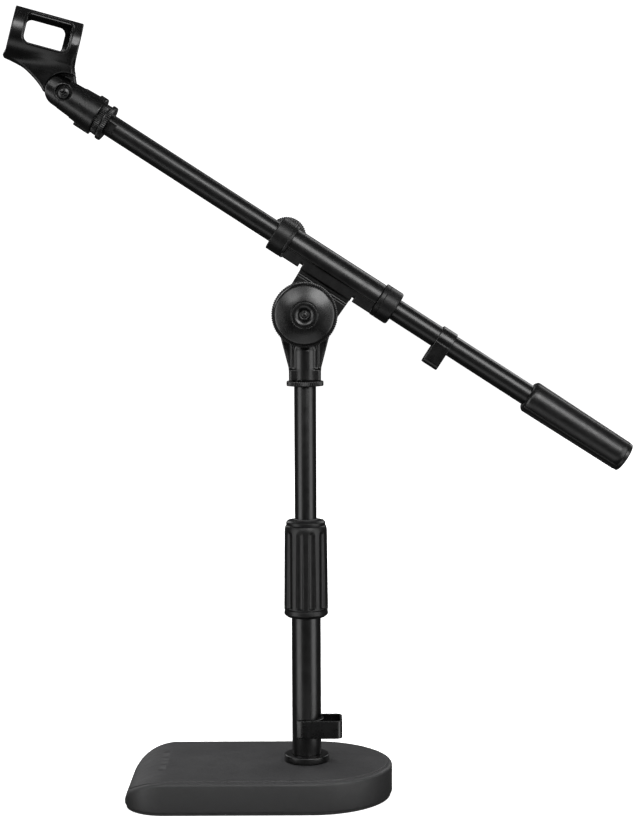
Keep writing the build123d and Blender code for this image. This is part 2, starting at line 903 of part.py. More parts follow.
adapter_radius = 7.9
adapter_length = 13.5
adapter_blank = turned(
    along_boom(socket_start - adapter_length - 0.6),
    [
        (0, tip_stud_radius + FIT),
        (0, adapter_radius - 0.6),
        (0.6, adapter_radius),
        (adapter_length - 0.6, adapter_radius),
        (adapter_length, adapter_radius - 0.6),
        (adapter_length, tip_stud_radius + FIT),
    ],
)
with BuildPart() as thread_adapter:
    add(adapter_blank.part)
    with BuildSketch(along_boom(socket_start - 0.6 - 1.6)):
        Rectangle(2 * adapter_radius + 2, 1.4)
    extrude(amount=3, mode=Mode.SUBTRACT)
save(thread_adapter, "thread_adapter")

clear = 16.0  # anything beyond the socket
ear_top_round = 11.0
ear_low_round = 10.0
socket_side_bulge = 0.9  # its round section is cut flat above and below
fork_half_width = tongue_half_thickness + 0.2
fork_floor = clip_screw_at + 11.0
bore_floor = fork_floor + 3.2
screw_seat = 8.6
screw_head_radius = 4.4
screw_head_height = 3.0
recess_radius = 6.0
nut_corner_radius = 4.6
clip_nut_height = 3.4
top_block_length = 5.9
top_block_height = 15.0
bottom_rib_length = 12.4
bottom_rib_depth = 13.9
rib_width = 8.0

socket_length = socket_start - socket_end
socket_end_centre = along_boom(socket_end).origin + boom_up * socket_rise
socket_cone = turned(
    Plane(origin=socket_end_centre, x_dir=boom_up, z_dir=boom_dir),
    [
        (0, 0),
        (0, socket_half_height_thin + socket_side_bulge),
        (socket_length, socket_half_height_wide + socket_side_bulge),
        (socket_length, 0),
    ],
)
top_left = socket_rise + socket_half_height_thin + 0.8
top_right = socket_rise + socket_half_height_wide
low_left = socket_rise - socket_half_height_thin - 0.2
low_right = socket_rise - socket_half_height_wide

with BuildPart() as clip_socket:
    add(socket_cone.part)
    with BuildSketch(boom_side):
        with BuildLine():
            Polyline(
                (socket_end + ear_top_round, top_left),
                (socket_start + 1, top_right),
                (socket_start + 1, low_right),
                (socket_end + ear_low_round, low_left),
            )
            RadiusArc(
                (socket_end + ear_low_round, low_left), (socket_end, low_left + ear_low_round), ear_low_round
            )
            Line((socket_end, low_left + ear_low_round), (socket_end, top_left - ear_top_round))
            RadiusArc(
                (socket_end, top_left - ear_top_round), (socket_end + ear_top_round, top_left), ear_top_round
            )
        make_face()
    extrude(amount=clear, both=True, mode=Mode.INTERSECT)
    with BuildSketch(along_boom(socket_start - top_block_length)):
        with Locations((top_block_height / 2, 0)):
            Rectangle(top_block_height, rib_width)
    extrude(amount=top_block_length)
    with BuildSketch(along_boom(socket_start - bottom_rib_length)):
        with Locations((-bottom_rib_depth / 2, 0)):
            Rectangle(bottom_rib_depth, rib_width)
    extrude(amount=bottom_rib_length)
    with BuildSketch(along_boom(socket_start + 0.01)):
        Circle(adapter_radius + FIT)
    extrude(amount=bore_floor - socket_start - 0.01, mode=Mode.SUBTRACT)
    with BuildSketch(boom_side):
        with Locations(((fork_floor + socket_end - 5) / 2, 0)):
            Rectangle(fork_floor - socket_end + 5, 2 * clear)
    extrude(amount=fork_half_width, both=True, mode=Mode.SUBTRACT)
    with BuildSketch(across(clip_pivot)):
        Circle(clip_screw_radius + FIT)
    extrude(amount=clear, both=True, mode=Mode.SUBTRACT)
    with BuildSketch(across(clip_pivot, screw_seat)):
        Circle(recess_radius)
    extrude(amount=clear, mode=Mode.SUBTRACT)
    with BuildSketch(across(clip_pivot, -screw_seat)):
        RegularPolygon(radius=nut_corner_radius + FIT, side_count=6)
    extrude(amount=-clear, mode=Mode.SUBTRACT)
save(clip_socket, "clip_socket")

with BuildPart() as clip_nut:
    with BuildSketch(across(clip_pivot, -screw_seat - FIT)):
        RegularPolygon(radius=nut_corner_radius, side_count=6)
        Circle(clip_screw_radius + FIT, mode=Mode.SUBTRACT)
    extrude(amount=-clip_nut_height)
save(clip_nut, "clip_nut")

with BuildPart() as clip_screw:
    with BuildSketch(across(clip_pivot, screw_seat + FIT)):
        Circle(screw_head_radius)
    extrude(amount=screw_head_height)
    fillet(clip_screw.faces().sort_by(Axis.Y)[0].edges(), 1.4)
    with BuildSketch(across(clip_pivot, screw_seat + FIT)):
        Circle(clip_screw_radius)
    extrude(amount=-2 * screw_seat - clip_nut_height)
    with BuildSketch(across(clip_pivot, screw_seat + screw_head_height)):
        Rectangle(4.8, 1.0)
        Rectangle(1.0, 4.8)
    extrude(amount=-1.5, both=True, mode=Mode.SUBTRACT)
save(clip_screw, "clip_screw")

# ---------------------------------------------------------------- mic clip

yaw = radians(clip_yaw)
barrel_middle = (barrel_left + barrel_right) / 2
barrel_length = barrel_right - barrel_left
barrel_dir = clip_dir * cos(yaw) - front * sin(yaw)
barrel_front = front * cos(yaw) + clip_dir * sin(yaw)
barrel_centre = clip_pivot + clip_dir * barrel_middle + clip_up * barrel_rise
barrel_side = Plane(origin=barrel_centre, x_dir=barrel_dir, z_dir=barrel_front)
barrel_end = Plane(origin=barrel_centre - barrel_dir * barrel_length / 2, x_dir=clip_up, z_dir=barrel_dir)

jaw_half_angle = 25.0
jaw_reach = 40.0
front_window = (1.3, 4.75, 31.7, 21.9)  # middle along and up the barrel, length, height
rear_window = (-0.5, 3.45, 29.0, 17.9)
window_round = 4.5
bead_width = 1.4
bead_floor = barrel_radius - 0.5
tongue_radius = 10.5
ear_clearance = 13.9
neck_left = [(-46.0, 14.4), (-41.1, 12.7), (-33.5, 10.4), (-26.1, 6.5), (-20.9, 2.9), (-17.4, 0.0), (-15.4, -2.2)]
neck_right = [(5.4, 9.9), (4.5, 12.0), (3.0, 16.0), (2.0, 21.0), (1.2, 28.0)]
neck_half_widths = [(14.5, 31), (13.5, 20), (9.5, 11), (8.5, 2), (8.5, -10)]  # half width, height over the pivot

mouth = 0.5  # chamfer at both ends of the bore
rim_edge = 0.7  # chamfer at both ends of the outside
barrel_shell = turned(
    barrel_end,
    [
        (0, barrel_bore + mouth),
        (0, barrel_radius - rim_edge),
        (rim_edge, barrel_radius),
        (barrel_length - rim_edge, barrel_radius),
        (barrel_length, barrel_radius - rim_edge),
        (barrel_length, barrel_bore + mouth),
        (barrel_length - mouth, barrel_bore),
        (mouth, barrel_bore),
    ],
)
barrel_mouth = turned(
    barrel_end,
    [
        (barrel_length - mouth, barrel_bore - mouth),
        (barrel_length - mouth, barrel_bore),
        (barrel_length + mouth, barrel_bore + 2 * mouth),
        (barrel_length + mouth, barrel_bore - mouth),
    ],
)

with BuildPart() as neck:
    with BuildSketch(clip_side):
        with BuildLine():
            Spline(*neck_left)
            Polyline(neck_left[-1], (0, -3), neck_right[0])
            Spline(*neck_right)
            Polyline(neck_right[-1], (-44, 30), neck_left[0])
        make_face()
    extrude(amount=14, both=True)
    with BuildSketch(Plane(origin=clip_pivot, x_dir=(0, 1, 0), z_dir=clip_dir)):
        with BuildLine():
            left_edge = [(-half, height) for half, height in neck_half_widths]
            right_edge = [(half, height) for half, height in reversed(neck_half_widths)]
            Polyline(*left_edge, *right_edge, close=True)
        make_face()
    extrude(amount=60, both=True, mode=Mode.INTERSECT)
    with BuildSketch(clip_side):
        Circle(ear_reach)
    extrude(amount=20, both=True, mode=Mode.SUBTRACT)


def beside_barrel(side, middle_along, middle_up, length, height, corner):
    """Rounded block standing out sideways from the barrel's middle plane."""
    with BuildPart() as block:
        with BuildSketch(barrel_side):
            with Locations((middle_along, middle_up)):
                RectangleRounded(length, height, corner)
        extrude(amount=side * 30)
    return block


front_opening = beside_barrel(1, *front_window, window_round)
rear_opening = beside_barrel(-1, *rear_window, window_round)
window_recess = []
for side, (middle_along, middle_up, length, height) in ((1, front_window), (-1, rear_window)):
    outline = (middle_along, middle_up, length + 2 * bead_width, height + 2 * bead_width)
    frame = beside_barrel(side, *outline, window_round + bead_width)
    with BuildPart() as recess:
        add(frame.part)
        with BuildSketch(barrel_end.offset(-5)):
            Circle(bead_floor)
        extrude(amount=barrel_length + 10, mode=Mode.SUBTRACT)
    window_recess.append(recess)

with BuildPart() as mic_clip:
    add(barrel_shell.part)
    with BuildSketch(clip_side):
        Circle(ear_clearance)
    extrude(amount=20, both=True, mode=Mode.SUBTRACT)
    add(neck.part)
    with BuildSketch(clip_side):
        Circle(tongue_radius)
        with BuildLine():
            Polyline(
                neck_left[-4], neck_left[-3], neck_left[-2], (-9.2, -5.0), (0, 0), (9.6, 4.2),
                *neck_right[:3], (4.0, 20), (-28.0, 20), close=True,
            )
        make_face()
    extrude(amount=tongue_half_thickness, both=True)
    with BuildSketch(barrel_end.offset(barrel_length)):
        Circle(barrel_radius)
    extrude(amount=10, mode=Mode.SUBTRACT)
    with BuildSketch(barrel_end.offset(-5)):
        Circle(barrel_bore)
        with BuildLine():
            Polyline(
                (0, 0),
                (jaw_reach * cos(radians(jaw_half_angle)), jaw_reach * sin(radians(jaw_half_angle))),
                (jaw_reach * cos(radians(jaw_half_angle)), -jaw_reach * sin(radians(jaw_half_angle))),
                close=True,
            )
        make_face()
    extrude(amount=barrel_length + 10, mode=Mode.SUBTRACT)
    add(barrel_mouth.part, mode=Mode.SUBTRACT)
    add(front_opening.part, mode=Mode.SUBTRACT)
    add(rear_opening.part, mode=Mode.SUBTRACT)
    for recess in window_recess:
        add(recess.part, mode=Mode.SUBTRACT)
    with BuildSketch(clip_side):
        Circle(clip_screw_radius + FIT)
    extrude(amount=20, both=True, mode=Mode.SUBTRACT)
save(mic_clip, "mic_clip")
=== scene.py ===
import json
import math

import bpy
import numpy as np
from mathutils import Matrix, Vector


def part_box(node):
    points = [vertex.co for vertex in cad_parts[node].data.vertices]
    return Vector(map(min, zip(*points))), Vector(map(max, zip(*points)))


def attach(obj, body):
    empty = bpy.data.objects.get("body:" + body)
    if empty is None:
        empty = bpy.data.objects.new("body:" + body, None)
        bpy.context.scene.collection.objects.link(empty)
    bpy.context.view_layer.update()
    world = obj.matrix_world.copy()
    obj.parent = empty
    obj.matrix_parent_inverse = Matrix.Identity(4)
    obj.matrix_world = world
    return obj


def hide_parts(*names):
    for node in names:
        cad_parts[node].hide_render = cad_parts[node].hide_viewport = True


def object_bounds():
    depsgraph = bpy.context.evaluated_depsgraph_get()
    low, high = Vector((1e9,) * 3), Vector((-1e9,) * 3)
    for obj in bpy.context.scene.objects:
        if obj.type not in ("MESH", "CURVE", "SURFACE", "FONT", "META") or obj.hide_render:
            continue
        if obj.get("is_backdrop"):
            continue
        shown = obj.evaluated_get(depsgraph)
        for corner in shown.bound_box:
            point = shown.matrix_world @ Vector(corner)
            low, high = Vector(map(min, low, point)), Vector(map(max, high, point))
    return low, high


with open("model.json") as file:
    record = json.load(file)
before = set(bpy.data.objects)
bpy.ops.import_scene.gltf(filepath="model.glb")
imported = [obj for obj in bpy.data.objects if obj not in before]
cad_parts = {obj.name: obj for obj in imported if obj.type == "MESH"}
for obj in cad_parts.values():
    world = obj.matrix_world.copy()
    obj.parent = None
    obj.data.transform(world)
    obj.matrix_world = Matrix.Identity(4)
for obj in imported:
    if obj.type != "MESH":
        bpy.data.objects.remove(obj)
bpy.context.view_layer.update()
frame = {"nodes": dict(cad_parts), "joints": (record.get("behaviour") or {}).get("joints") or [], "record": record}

MM = 0.001

# ---------------- places, all from the frame, in mm


def unit(v):
    v = np.array(v, float)
    return v / np.linalg.norm(v)


class Place:
    """A local frame in mm: x, y and z are unit vectors, right-handed."""

    def __init__(self, origin, x, z):
        self.origin = np.array(origin, float)
        self.x = unit(x)
        self.z = unit(z)
        self.y = np.cross(self.z, self.x)

    def world(self, p):
        """Local points, in mm, to metres in the row frame."""
        p = np.asarray(p, float)
        out = self.origin + p[..., 0:1] * self.x + p[..., 1:2] * self.y + p[..., 2:3] * self.z
        return out * MM

    def local(self, p):
        """Points of the row frame, in metres, to local mm."""
        d = np.asarray(p, float) / MM - self.origin
        return np.stack([d @ self.x, d @ self.y, d @ self.z], -1)


def vertices(node):
    return np.array([v.co[:] for v in frame["nodes"][node].data.vertices], float)


def span(node, place):
    """First and last station of a CAD node along the place's z axis, in mm."""
    z = place.local(vertices(node))[:, 2]
    return z.min(), z.max()


def reach(node, place):
    """Largest radius of a CAD node about the place's z axis, in mm."""
    p = place.local(vertices(node))
    return np.hypot(p[:, 0], p[:, 1]).max()


joints = {j["name"]: j for j in frame["joints"]}
mounts = {m["name"]: m for m in frame["record"]["mounts"]}
UP = np.array([0.0, 0.0, 1.0])
FRONT = np.array([0.0, -1.0, 0.0])


def joint_place(name):
    return np.array(joints[name]["pos_m"]) / MM


boom_dir = unit(joints["boom_slide"]["axis"])
boom_up = np.cross(FRONT, boom_dir)
clip_axis = -unit(mounts["clip_bore"]["axis"])
clip_dir = unit([clip_axis[0], 0, clip_axis[2]])
clip_up = np.cross(FRONT, clip_dir)
pivot = joint_place("boom_tilt")
boom_foot = joint_place("boom_slide")
clip_pivot = joint_place("clip_tilt")

POST = Place((0, 0, 0), (1, 0, 0), UP)
BOOM = Place(boom_foot, boom_up, boom_dir)
BOOM_SIDE = Place(boom_foot, boom_dir, FRONT)
TILT = Place(pivot, (1, 0, 0), FRONT)
LOCK = Place(joint_place("lock_knob_turn"), boom_dir, joints["lock_knob_turn"]["axis"])
CLIP_SIDE = Place(clip_pivot, clip_dir, FRONT)

# ---------------- mesh makers

ON_AXIS = 1e-6  # mm; a smaller radius is a point on the axis


def make(name, points, faces, place, body, slot, nodes, crease=None):
    """A mesh piece from local points in mm, riding on a body, in its slot's finish, for the CAD nodes named."""
    mesh = bpy.data.meshes.new(name)
    mesh.from_pydata([tuple(p) for p in place.world(points)], [], [tuple(f) for f in faces])
    mesh.validate()
    mesh.update()
    mesh.polygons.foreach_set("use_smooth", [True] * len(mesh.polygons))
    if crease is not None:
        sharpen(mesh, crease)
    piece = bpy.data.objects.new(name, mesh)
    bpy.context.scene.collection.objects.link(piece)
    mesh.materials.append(FINISH[slot])
    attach(piece, body)
    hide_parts(*nodes)
    return piece


def sharpen(mesh, degrees):
    """Marks edges whose faces meet at more than the angle as sharp."""
    normals = np.array([p.normal[:] for p in mesh.polygons])
    sides = {}
    for polygon in mesh.polygons:
        for key in polygon.edge_keys:
            sides.setdefault(key, []).append(polygon.index)
    limit = math.cos(math.radians(degrees))
    for edge in mesh.edges:
        pair = sides.get(edge.key, [])
        if len(pair) == 2 and normals[pair[0]] @ normals[pair[1]] < limit:
            edge.use_edge_sharp = True


NEARLY_STRAIGHT = math.radians(178)


def rounded(points, radii, steps=4):
    """A polyline with its inner corners rounded, each by its own radius."""
    points = [np.array(p, float) for p in points]
    out = [points[0]]
    for i in range(1, len(points) - 1):
        r = radii[i - 1]
        before = points[i - 1] - points[i]
        after = points[i + 1] - points[i]
        len_before = np.linalg.norm(before)
        len_after = np.linalg.norm(after)
        before /= len_before
        after /= len_after
        angle = math.acos(np.clip(before @ after, -1, 1))
        if angle > NEARLY_STRAIGHT:
            out.append(points[i])
            continue
        cut = min(r / math.tan(angle / 2), 0.49 * len_before, 0.49 * len_after)
        r = cut * math.tan(angle / 2)
        centre = points[i] + (before + after) / np.linalg.norm(before + after) * (r / math.sin(angle / 2))
        start = points[i] + before * cut - centre
        end = points[i] + after * cut - centre
        turn = math.acos(np.clip(start @ end / (r * r), -1, 1))
        for k in range(steps + 1):
            t = k / steps
            arm = (math.sin((1 - t) * turn) * start + math.sin(t * turn) * end) / math.sin(turn)
            out.append(centre + arm)
    out.append(points[-1])
    return out


def lathe(name, place, profile, body, slot, nodes, segments=96, shape=None):
    """Surface of revolution about the place's z axis.

    profile is a list of (station, radius), closed if it ends at its start.
    shape(station, radius, angle) may change a radius, for flutes and serrations.
    """
    angles = np.linspace(0, 2 * math.pi, segments, endpoint=False)
    points = []
    faces = []
    rings = []
    for station, radius in profile:
        if radius < ON_AXIS:
            rings.append([len(points)] * segments)
            points.append((0, 0, station))
            continue
        start = len(points)
        for angle in angles:
            r = radius if shape is None else shape(station, radius, angle)
            points.append((r * math.cos(angle), r * math.sin(angle), station))
        rings.append(list(range(start, start + segments)))
    if np.allclose(profile[0], profile[-1]) and profile[0][1] > ON_AXIS:
        rings[-1] = rings[0]
    for a, b in zip(rings, rings[1:]):
        for k in range(segments):
            n = (k + 1) % segments
            face = list(dict.fromkeys([a[k], a[n], b[n], b[k]]))
            if len(face) >= 3:
                faces.append(face)
    return make(name, points, outward(points, faces), place, body, slot, nodes, crease=50)


def outward(points, faces):
    """Turns all faces over if the closed surface has negative volume."""
    p = np.array(points, float)
    volume = 0.0
    for face in faces:
        for k in range(1, len(face) - 1):
            volume += np.dot(p[face[0]], np.cross(p[face[k]], p[face[k + 1]]))
    return faces if volume > 0 else [list(reversed(f)) for f in faces]


def tube_profile(start, end, inner, outer, round_out):
    """Closed profile of a ring or tube with eased edges."""
    corners = [
        ((start + end) / 2, inner),
        (start, inner),
        (start, outer),
        (end, outer),
        (end, inner),
        ((start + end) / 2, inner),
    ]
    return rounded(corners, [0.25, round_out, round_out, 0.25])


AROUND_EDGE = ((0, 0), (1, 0), (1, 1), (0, 1))  # steps to the four cells that share a grid edge


def skin(name, node, place, field, step, body, slot, margin=1.5):
    """Mesh of the zero level of a distance field, for one CAD node.

    The field is sampled on a grid round the node, in the place's mm, and the points are then drawn onto the surface.
    """
    corners = place.local(vertices(node))
    low = corners.min(0) - margin
    high = corners.max(0) + margin
    axes = [np.arange(low[i], high[i] + step, step) for i in range(3)]
    grid = np.meshgrid(*axes, indexing="ij")
    values = field(*grid)
    inside = values < 0
    cells = tuple(n - 1 for n in values.shape)
    total = np.zeros(cells + (3,))
    count = np.zeros(cells)
    crossings = []
    for axis in range(3):
        first = [slice(None)] * 3
        second = [slice(None)] * 3
        first[axis] = slice(0, -1)
        second[axis] = slice(1, None)
        a = values[tuple(first)]
        b = values[tuple(second)]
        where = np.argwhere(inside[tuple(first)] != inside[tuple(second)])
        others = [k for k in range(3) if k != axis]
        keep = np.ones(len(where), bool)
        for k in others:
            keep &= (where[:, k] > 0) & (where[:, k] < values.shape[k] - 1)
        where = where[keep]
        index = tuple(where.T)
        t = a[index] / (a[index] - b[index])
        spot = where.astype(float)
        spot[:, axis] += t
        p, q = others
        for dp, dq in AROUND_EDGE:
            cell = where.copy()
            cell[:, p] -= dp
            cell[:, q] -= dq
            np.add.at(total, tuple(cell.T), spot)
            np.add.at(count, tuple(cell.T), 1)
        crossings.append((axis, p, q, where, inside[tuple(first)][index]))
    used = count > 0
    number = np.full(cells, -1)
    number[used] = np.arange(used.sum())
    points = total[used] / count[used][:, None] * step + np.array(low)
    faces = []
    for axis, p, q, where, starts_inside in crossings:
        corners = []
        for dp, dq in AROUND_EDGE:
            cell = where.copy()
            cell[:, p] -= dp
            cell[:, q] -= dq
            corners.append(number[tuple(cell.T)])
        quads = np.stack(corners, 1)
        flip = starts_inside if axis != 1 else ~starts_inside
        quads[flip] = quads[flip][:, ::-1]
        faces.append(quads)
    faces = np.concatenate(faces)
    points = settle(points, field, step)
    return make(name, points, outward(points, faces.tolist()), place, body, slot, [node])


def settle(points, field, step, rounds=3):
    """Moves points onto the field's zero level, never further than a third of a cell at a time."""
    d = step * 0.05
    for _ in range(rounds):
        x, y, z = points.T
        value = field(x, y, z)
        slope = np.stack(
            [
                field(x + d, y, z) - field(x - d, y, z),
                field(x, y + d, z) - field(x, y - d, z),
                field(x, y, z + d) - field(x, y, z - d),
            ],
            1,
        ) / (2 * d)
        size = np.maximum((slope**2).sum(1), 0.25)
        move = -value[:, None] * slope / size[:, None]
        length = np.linalg.norm(move, axis=1)
        limit = step / 3
        move *= np.minimum(1, limit / np.maximum(length, 1e-9))[:, None]
        points = points + move
    return points


# ---------------- distance fields


def join(a, b, k=0.0):
    """Union of two fields, blended over a width k."""
    if k <= 0:
        return np.minimum(a, b)
    h = np.clip(0.5 + 0.5 * (b - a) / k, 0, 1)
    return b * (1 - h) + a * h - k * h * (1 - h)


def meet(a, b, k=0.0):
    return -join(-a, -b, k)


def cut(a, b, k=0.0):
    return meet(a, -b, k)


def slab(x, low, high):
    return np.maximum(low - x, x - high)


def box2(x, y, half_x, half_y, r=0.0):
    """Rounded rectangle about the origin."""
    qx = np.abs(x) - half_x + r
    qy = np.abs(y) - half_y + r
    return np.hypot(np.maximum(qx, 0), np.maximum(qy, 0)) + np.minimum(np.maximum(qx, qy), 0) - r


def polygon(x, y, corners):
    """Signed distance to a closed polygon."""
    best = np.full(np.shape(x), np.inf)
    sign = np.ones(np.shape(x))
    for (ax, ay), (bx, by) in zip(corners, corners[1:] + corners[:1]):
        ex, ey = bx - ax, by - ay
        wx, wy = x - ax, y - ay
        t = np.clip((wx * ex + wy * ey) / (ex * ex + ey * ey), 0, 1)
        best = np.minimum(best, (wx - ex * t) ** 2 + (wy - ey * t) ** 2)
        above = y >= ay
        below_next = y < by
        left = ex * wy > ey * wx
        flip = (above & below_next & left) | (~above & ~below_next & ~left)
        sign = np.where(flip, -sign, sign)
    return sign * np.sqrt(best)


# ---------------- materials


def node_tree(name):
    material = bpy.data.materials.new(name)
    material.use_nodes = True
    tree = material.node_tree
    shader = tree.nodes["Principled BSDF"]
    return material, tree, shader


def noise(tree, scale, detail=2.0, rough=0.5):
    """Fractal noise in object space; scale is features per metre."""
    coords = tree.nodes.new("ShaderNodeTexCoord")
    texture = tree.nodes.new("ShaderNodeTexNoise")
    texture.inputs["Scale"].default_value = scale
    texture.inputs["Detail"].default_value = detail
    texture.inputs["Roughness"].default_value = rough
    tree.links.new(coords.outputs["Object"], texture.inputs["Vector"])
    return texture.outputs["Fac"]


def ramp(tree, source, low, high, from_low=0.3, from_high=0.7):
    """Maps a 0 to 1 value between two numbers."""
    span_node = tree.nodes.new("ShaderNodeMapRange")
    span_node.inputs["From Min"].default_value = from_low
    span_node.inputs["From Max"].default_value = from_high
    span_node.inputs["To Min"].default_value = low
    span_node.inputs["To Max"].default_value = high
    tree.links.new(source, span_node.inputs["Value"])
    return span_node.outputs["Result"]


def blend_colour(tree, factor, a, b):
    mix = tree.nodes.new("ShaderNodeMix")
    mix.data_type = "RGBA"
    for socket, value in (("A", a), ("B", b)):
        target = [s for s in mix.inputs if s.name == socket and s.type == "RGBA"][0]
        if isinstance(value, tuple):
            target.default_value = (*value, 1)
        else:
            tree.links.new(value, target)
    tree.links.new(factor, mix.inputs["Factor"])
    return [s for s in mix.outputs if s.type == "RGBA"][0]


def edges(tree, radius):
    """1 along convex and concave edges, 0 on flats, from the bevel of the normal."""
    bevel = tree.nodes.new("ShaderNodeBevel")
    bevel.samples = 4
    bevel.inputs["Radius"].default_value = radius
    geometry = tree.nodes.new("ShaderNodeNewGeometry")
    dot = tree.nodes.new("ShaderNodeVectorMath")
    dot.operation = "DOT_PRODUCT"
    tree.links.new(bevel.outputs["Normal"], dot.inputs[0])
    tree.links.new(geometry.outputs["Normal"], dot.inputs[1])
    return ramp(tree, dot.outputs["Value"], 1.0, 0.0, 0.90, 0.995)


def bump(tree, shader, height, distance):
    node = tree.nodes.new("ShaderNodeBump")
    node.inputs["Distance"].default_value = distance
    node.inputs["Strength"].default_value = 1.0
    tree.links.new(height, node.inputs["Height"])
    tree.links.new(node.outputs["Normal"], shader.inputs["Normal"])


EDGE_WEAR_AND_HIGHLIGHT_RADIUS = 0.0006  # m, how far the rubbed wear and the painted edge highlight reach from an edge
EDGE_WEAR_AND_HIGHLIGHT_SCALE = 220.0  # spots per metre of the edge wear and painted edge highlight


def finish_material(
    name,
    dark,
    light,
    rough,
    grain,
    grain_height,
    edge_wear_and_highlight_colour,
    edge_wear_and_highlight=0.35,
    metal=0.0,
    patch=60.0,
    specular=0.5,
):
    """Moulded, painted or turned surface: mottled colour, uneven gloss, fine grain, and convex and concave edges
    lightened, partly as rubbed wear and partly as a painted edge highlight.

    grain and patch are features per metre, and grain_height is in metres.
    """
    material, tree, shader = node_tree(name)
    patches = noise(tree, patch, detail=4.0)
    speckle = noise(tree, grain, detail=3.0, rough=0.6)
    base = blend_colour(tree, ramp(tree, patches, 0.0, 1.0), dark, light)
    # edges and creases lighter in spots: partly rubbed wear, partly a painted highlight where edges would catch light
    rubbed_and_highlit_edges = tree.nodes.new("ShaderNodeMath")
    rubbed_and_highlit_edges.operation = "MULTIPLY"
    tree.links.new(edges(tree, EDGE_WEAR_AND_HIGHLIGHT_RADIUS), rubbed_and_highlit_edges.inputs[0])
    tree.links.new(ramp(tree, noise(tree, EDGE_WEAR_AND_HIGHLIGHT_SCALE, detail=3.0), 0.0, edge_wear_and_highlight), rubbed_and_highlit_edges.inputs[1])
    colour = blend_colour(tree, rubbed_and_highlit_edges.outputs[0], base, edge_wear_and_highlight_colour)
    tree.links.new(colour, shader.inputs["Base Color"])
    gloss = noise(tree, patch * 2.7, detail=4.0)
    tree.links.new(ramp(tree, gloss, rough[0], rough[1]), shader.inputs["Roughness"])
    shader.inputs["Metallic"].default_value = metal
    shader.inputs["Specular IOR Level"].default_value = specular
    bump(tree, shader, speckle, grain_height)
    return material


FINISH = {
    "textured_iron": finish_material(
        "powder_coat",
        dark=(0.026, 0.026, 0.027),
        light=(0.032, 0.032, 0.033),
        rough=(0.52, 0.64),
        grain=2600,
        grain_height=0.00008,
        edge_wear_and_highlight_colour=(0.08, 0.08, 0.08),
        patch=35,
    ),
    "black_steel": finish_material(
        "gloss_paint",
        dark=(0.0020, 0.0020, 0.0022),
        light=(0.0030, 0.0030, 0.0032),
        rough=(0.28, 0.35),
        grain=900,
        grain_height=0.000003,
        edge_wear_and_highlight_colour=(0.05, 0.05, 0.05),
        patch=50,
    ),
    "cast_zinc": finish_material(
        "cast_paint",
        dark=(0.0025, 0.0025, 0.0027),
        light=(0.0038, 0.0038, 0.0040),
        rough=(0.28, 0.37),
        grain=1400,
        grain_height=0.000012,
        edge_wear_and_highlight_colour=(0.06, 0.06, 0.06),
        patch=60,
    ),
    "handle_plastic": finish_material(
        "handle_plastic",
        dark=(0.0045, 0.0045, 0.0047),
        light=(0.0065, 0.0065, 0.0068),
        rough=(0.36, 0.44),
        grain=2200,
        grain_height=0.000012,
        edge_wear_and_highlight_colour=(0.07, 0.07, 0.07),
        specular=0.32,
    ),
    "knob_plastic": finish_material(
        "knob_plastic",
        dark=(0.0022, 0.0022, 0.0024),
        light=(0.0034, 0.0034, 0.0036),
        rough=(0.24, 0.31),
        grain=1800,
        grain_height=0.000003,
        # knob rims, groove and dimple edges strongly lightened: a painted highlight, with some wear
        edge_wear_and_highlight_colour=(0.12, 0.12, 0.12),
        edge_wear_and_highlight=0.9,
    ),
    "clip_plastic": finish_material(
        "clip_plastic",
        dark=(0.0022, 0.0022, 0.0024),
        light=(0.0034, 0.0034, 0.0036),
        rough=(0.24, 0.32),
        grain=1500,
        grain_height=0.000005,
        edge_wear_and_highlight_colour=(0.06, 0.06, 0.06),
    ),
    "grip_rubber": finish_material(
        "grip_rubber",
        dark=(0.0035, 0.0035, 0.0037),
        light=(0.0055, 0.0055, 0.0057),
        rough=(0.30, 0.38),
        grain=3000,
        grain_height=0.000010,
        edge_wear_and_highlight_colour=(0.06, 0.06, 0.06),
    ),
    "pad_rubber": finish_material(
        "pad_rubber",
        dark=(0.008, 0.008, 0.008),
        light=(0.012, 0.012, 0.012),
        rough=(0.75, 0.9),
        grain=2500,
        grain_height=0.0001,
        edge_wear_and_highlight_colour=(0.03, 0.03, 0.03),
    ),
    "zinc_steel": finish_material(
        "zinc_plate",
        dark=(0.45, 0.45, 0.46),
        light=(0.60, 0.60, 0.61),
        rough=(0.28, 0.42),
        grain=3000,
        grain_height=0.00001,
        edge_wear_and_highlight_colour=(0.7, 0.7, 0.7),
        metal=1.0,
        patch=140,
    ),
    "brass": finish_material(
        "brass",
        dark=(0.72, 0.50, 0.20),
        light=(0.83, 0.62, 0.28),
        rough=(0.22, 0.36),
        grain=2500,
        grain_height=0.00001,
        edge_wear_and_highlight_colour=(0.9, 0.75, 0.4),
        metal=1.0,
        patch=120,
    ),
    "nylon": finish_material(
        "nylon",
        dark=(0.03, 0.03, 0.03),
        light=(0.04, 0.04, 0.04),
        rough=(0.5, 0.6),
        grain=2000,
        grain_height=0.00003,
        edge_wear_and_highlight_colour=(0.08, 0.08, 0.08),
    ),
}
for part in frame["record"]["subparts"]:
    mesh = frame["nodes"][part["node"]].data
    mesh.materials.clear()
    mesh.materials.append(FINISH[part["material_slot"]])

# ---------------- turned pieces


def tube_piece(name, node, place, wall, body, slot, round_out=0.5):
    """Replaces a plain tube or ring by one with eased edges, of the same size."""
    start, end = span(node, place)
    outer = reach(node, place)
    lathe(name, place, tube_profile(start, end, outer - wall, outer, round_out), body, slot, [node])


tube_piece("post_lower_tube", "lower_tube", POST, 1.2, "base", "black_steel")
tube_piece("post_upper_tube", "upper_tube", POST, 1.2, "riser", "black_steel")
tube_piece("post_foot_collar", "foot_collar", POST, 5.7, "base", "black_steel", 0.9)

# clutch

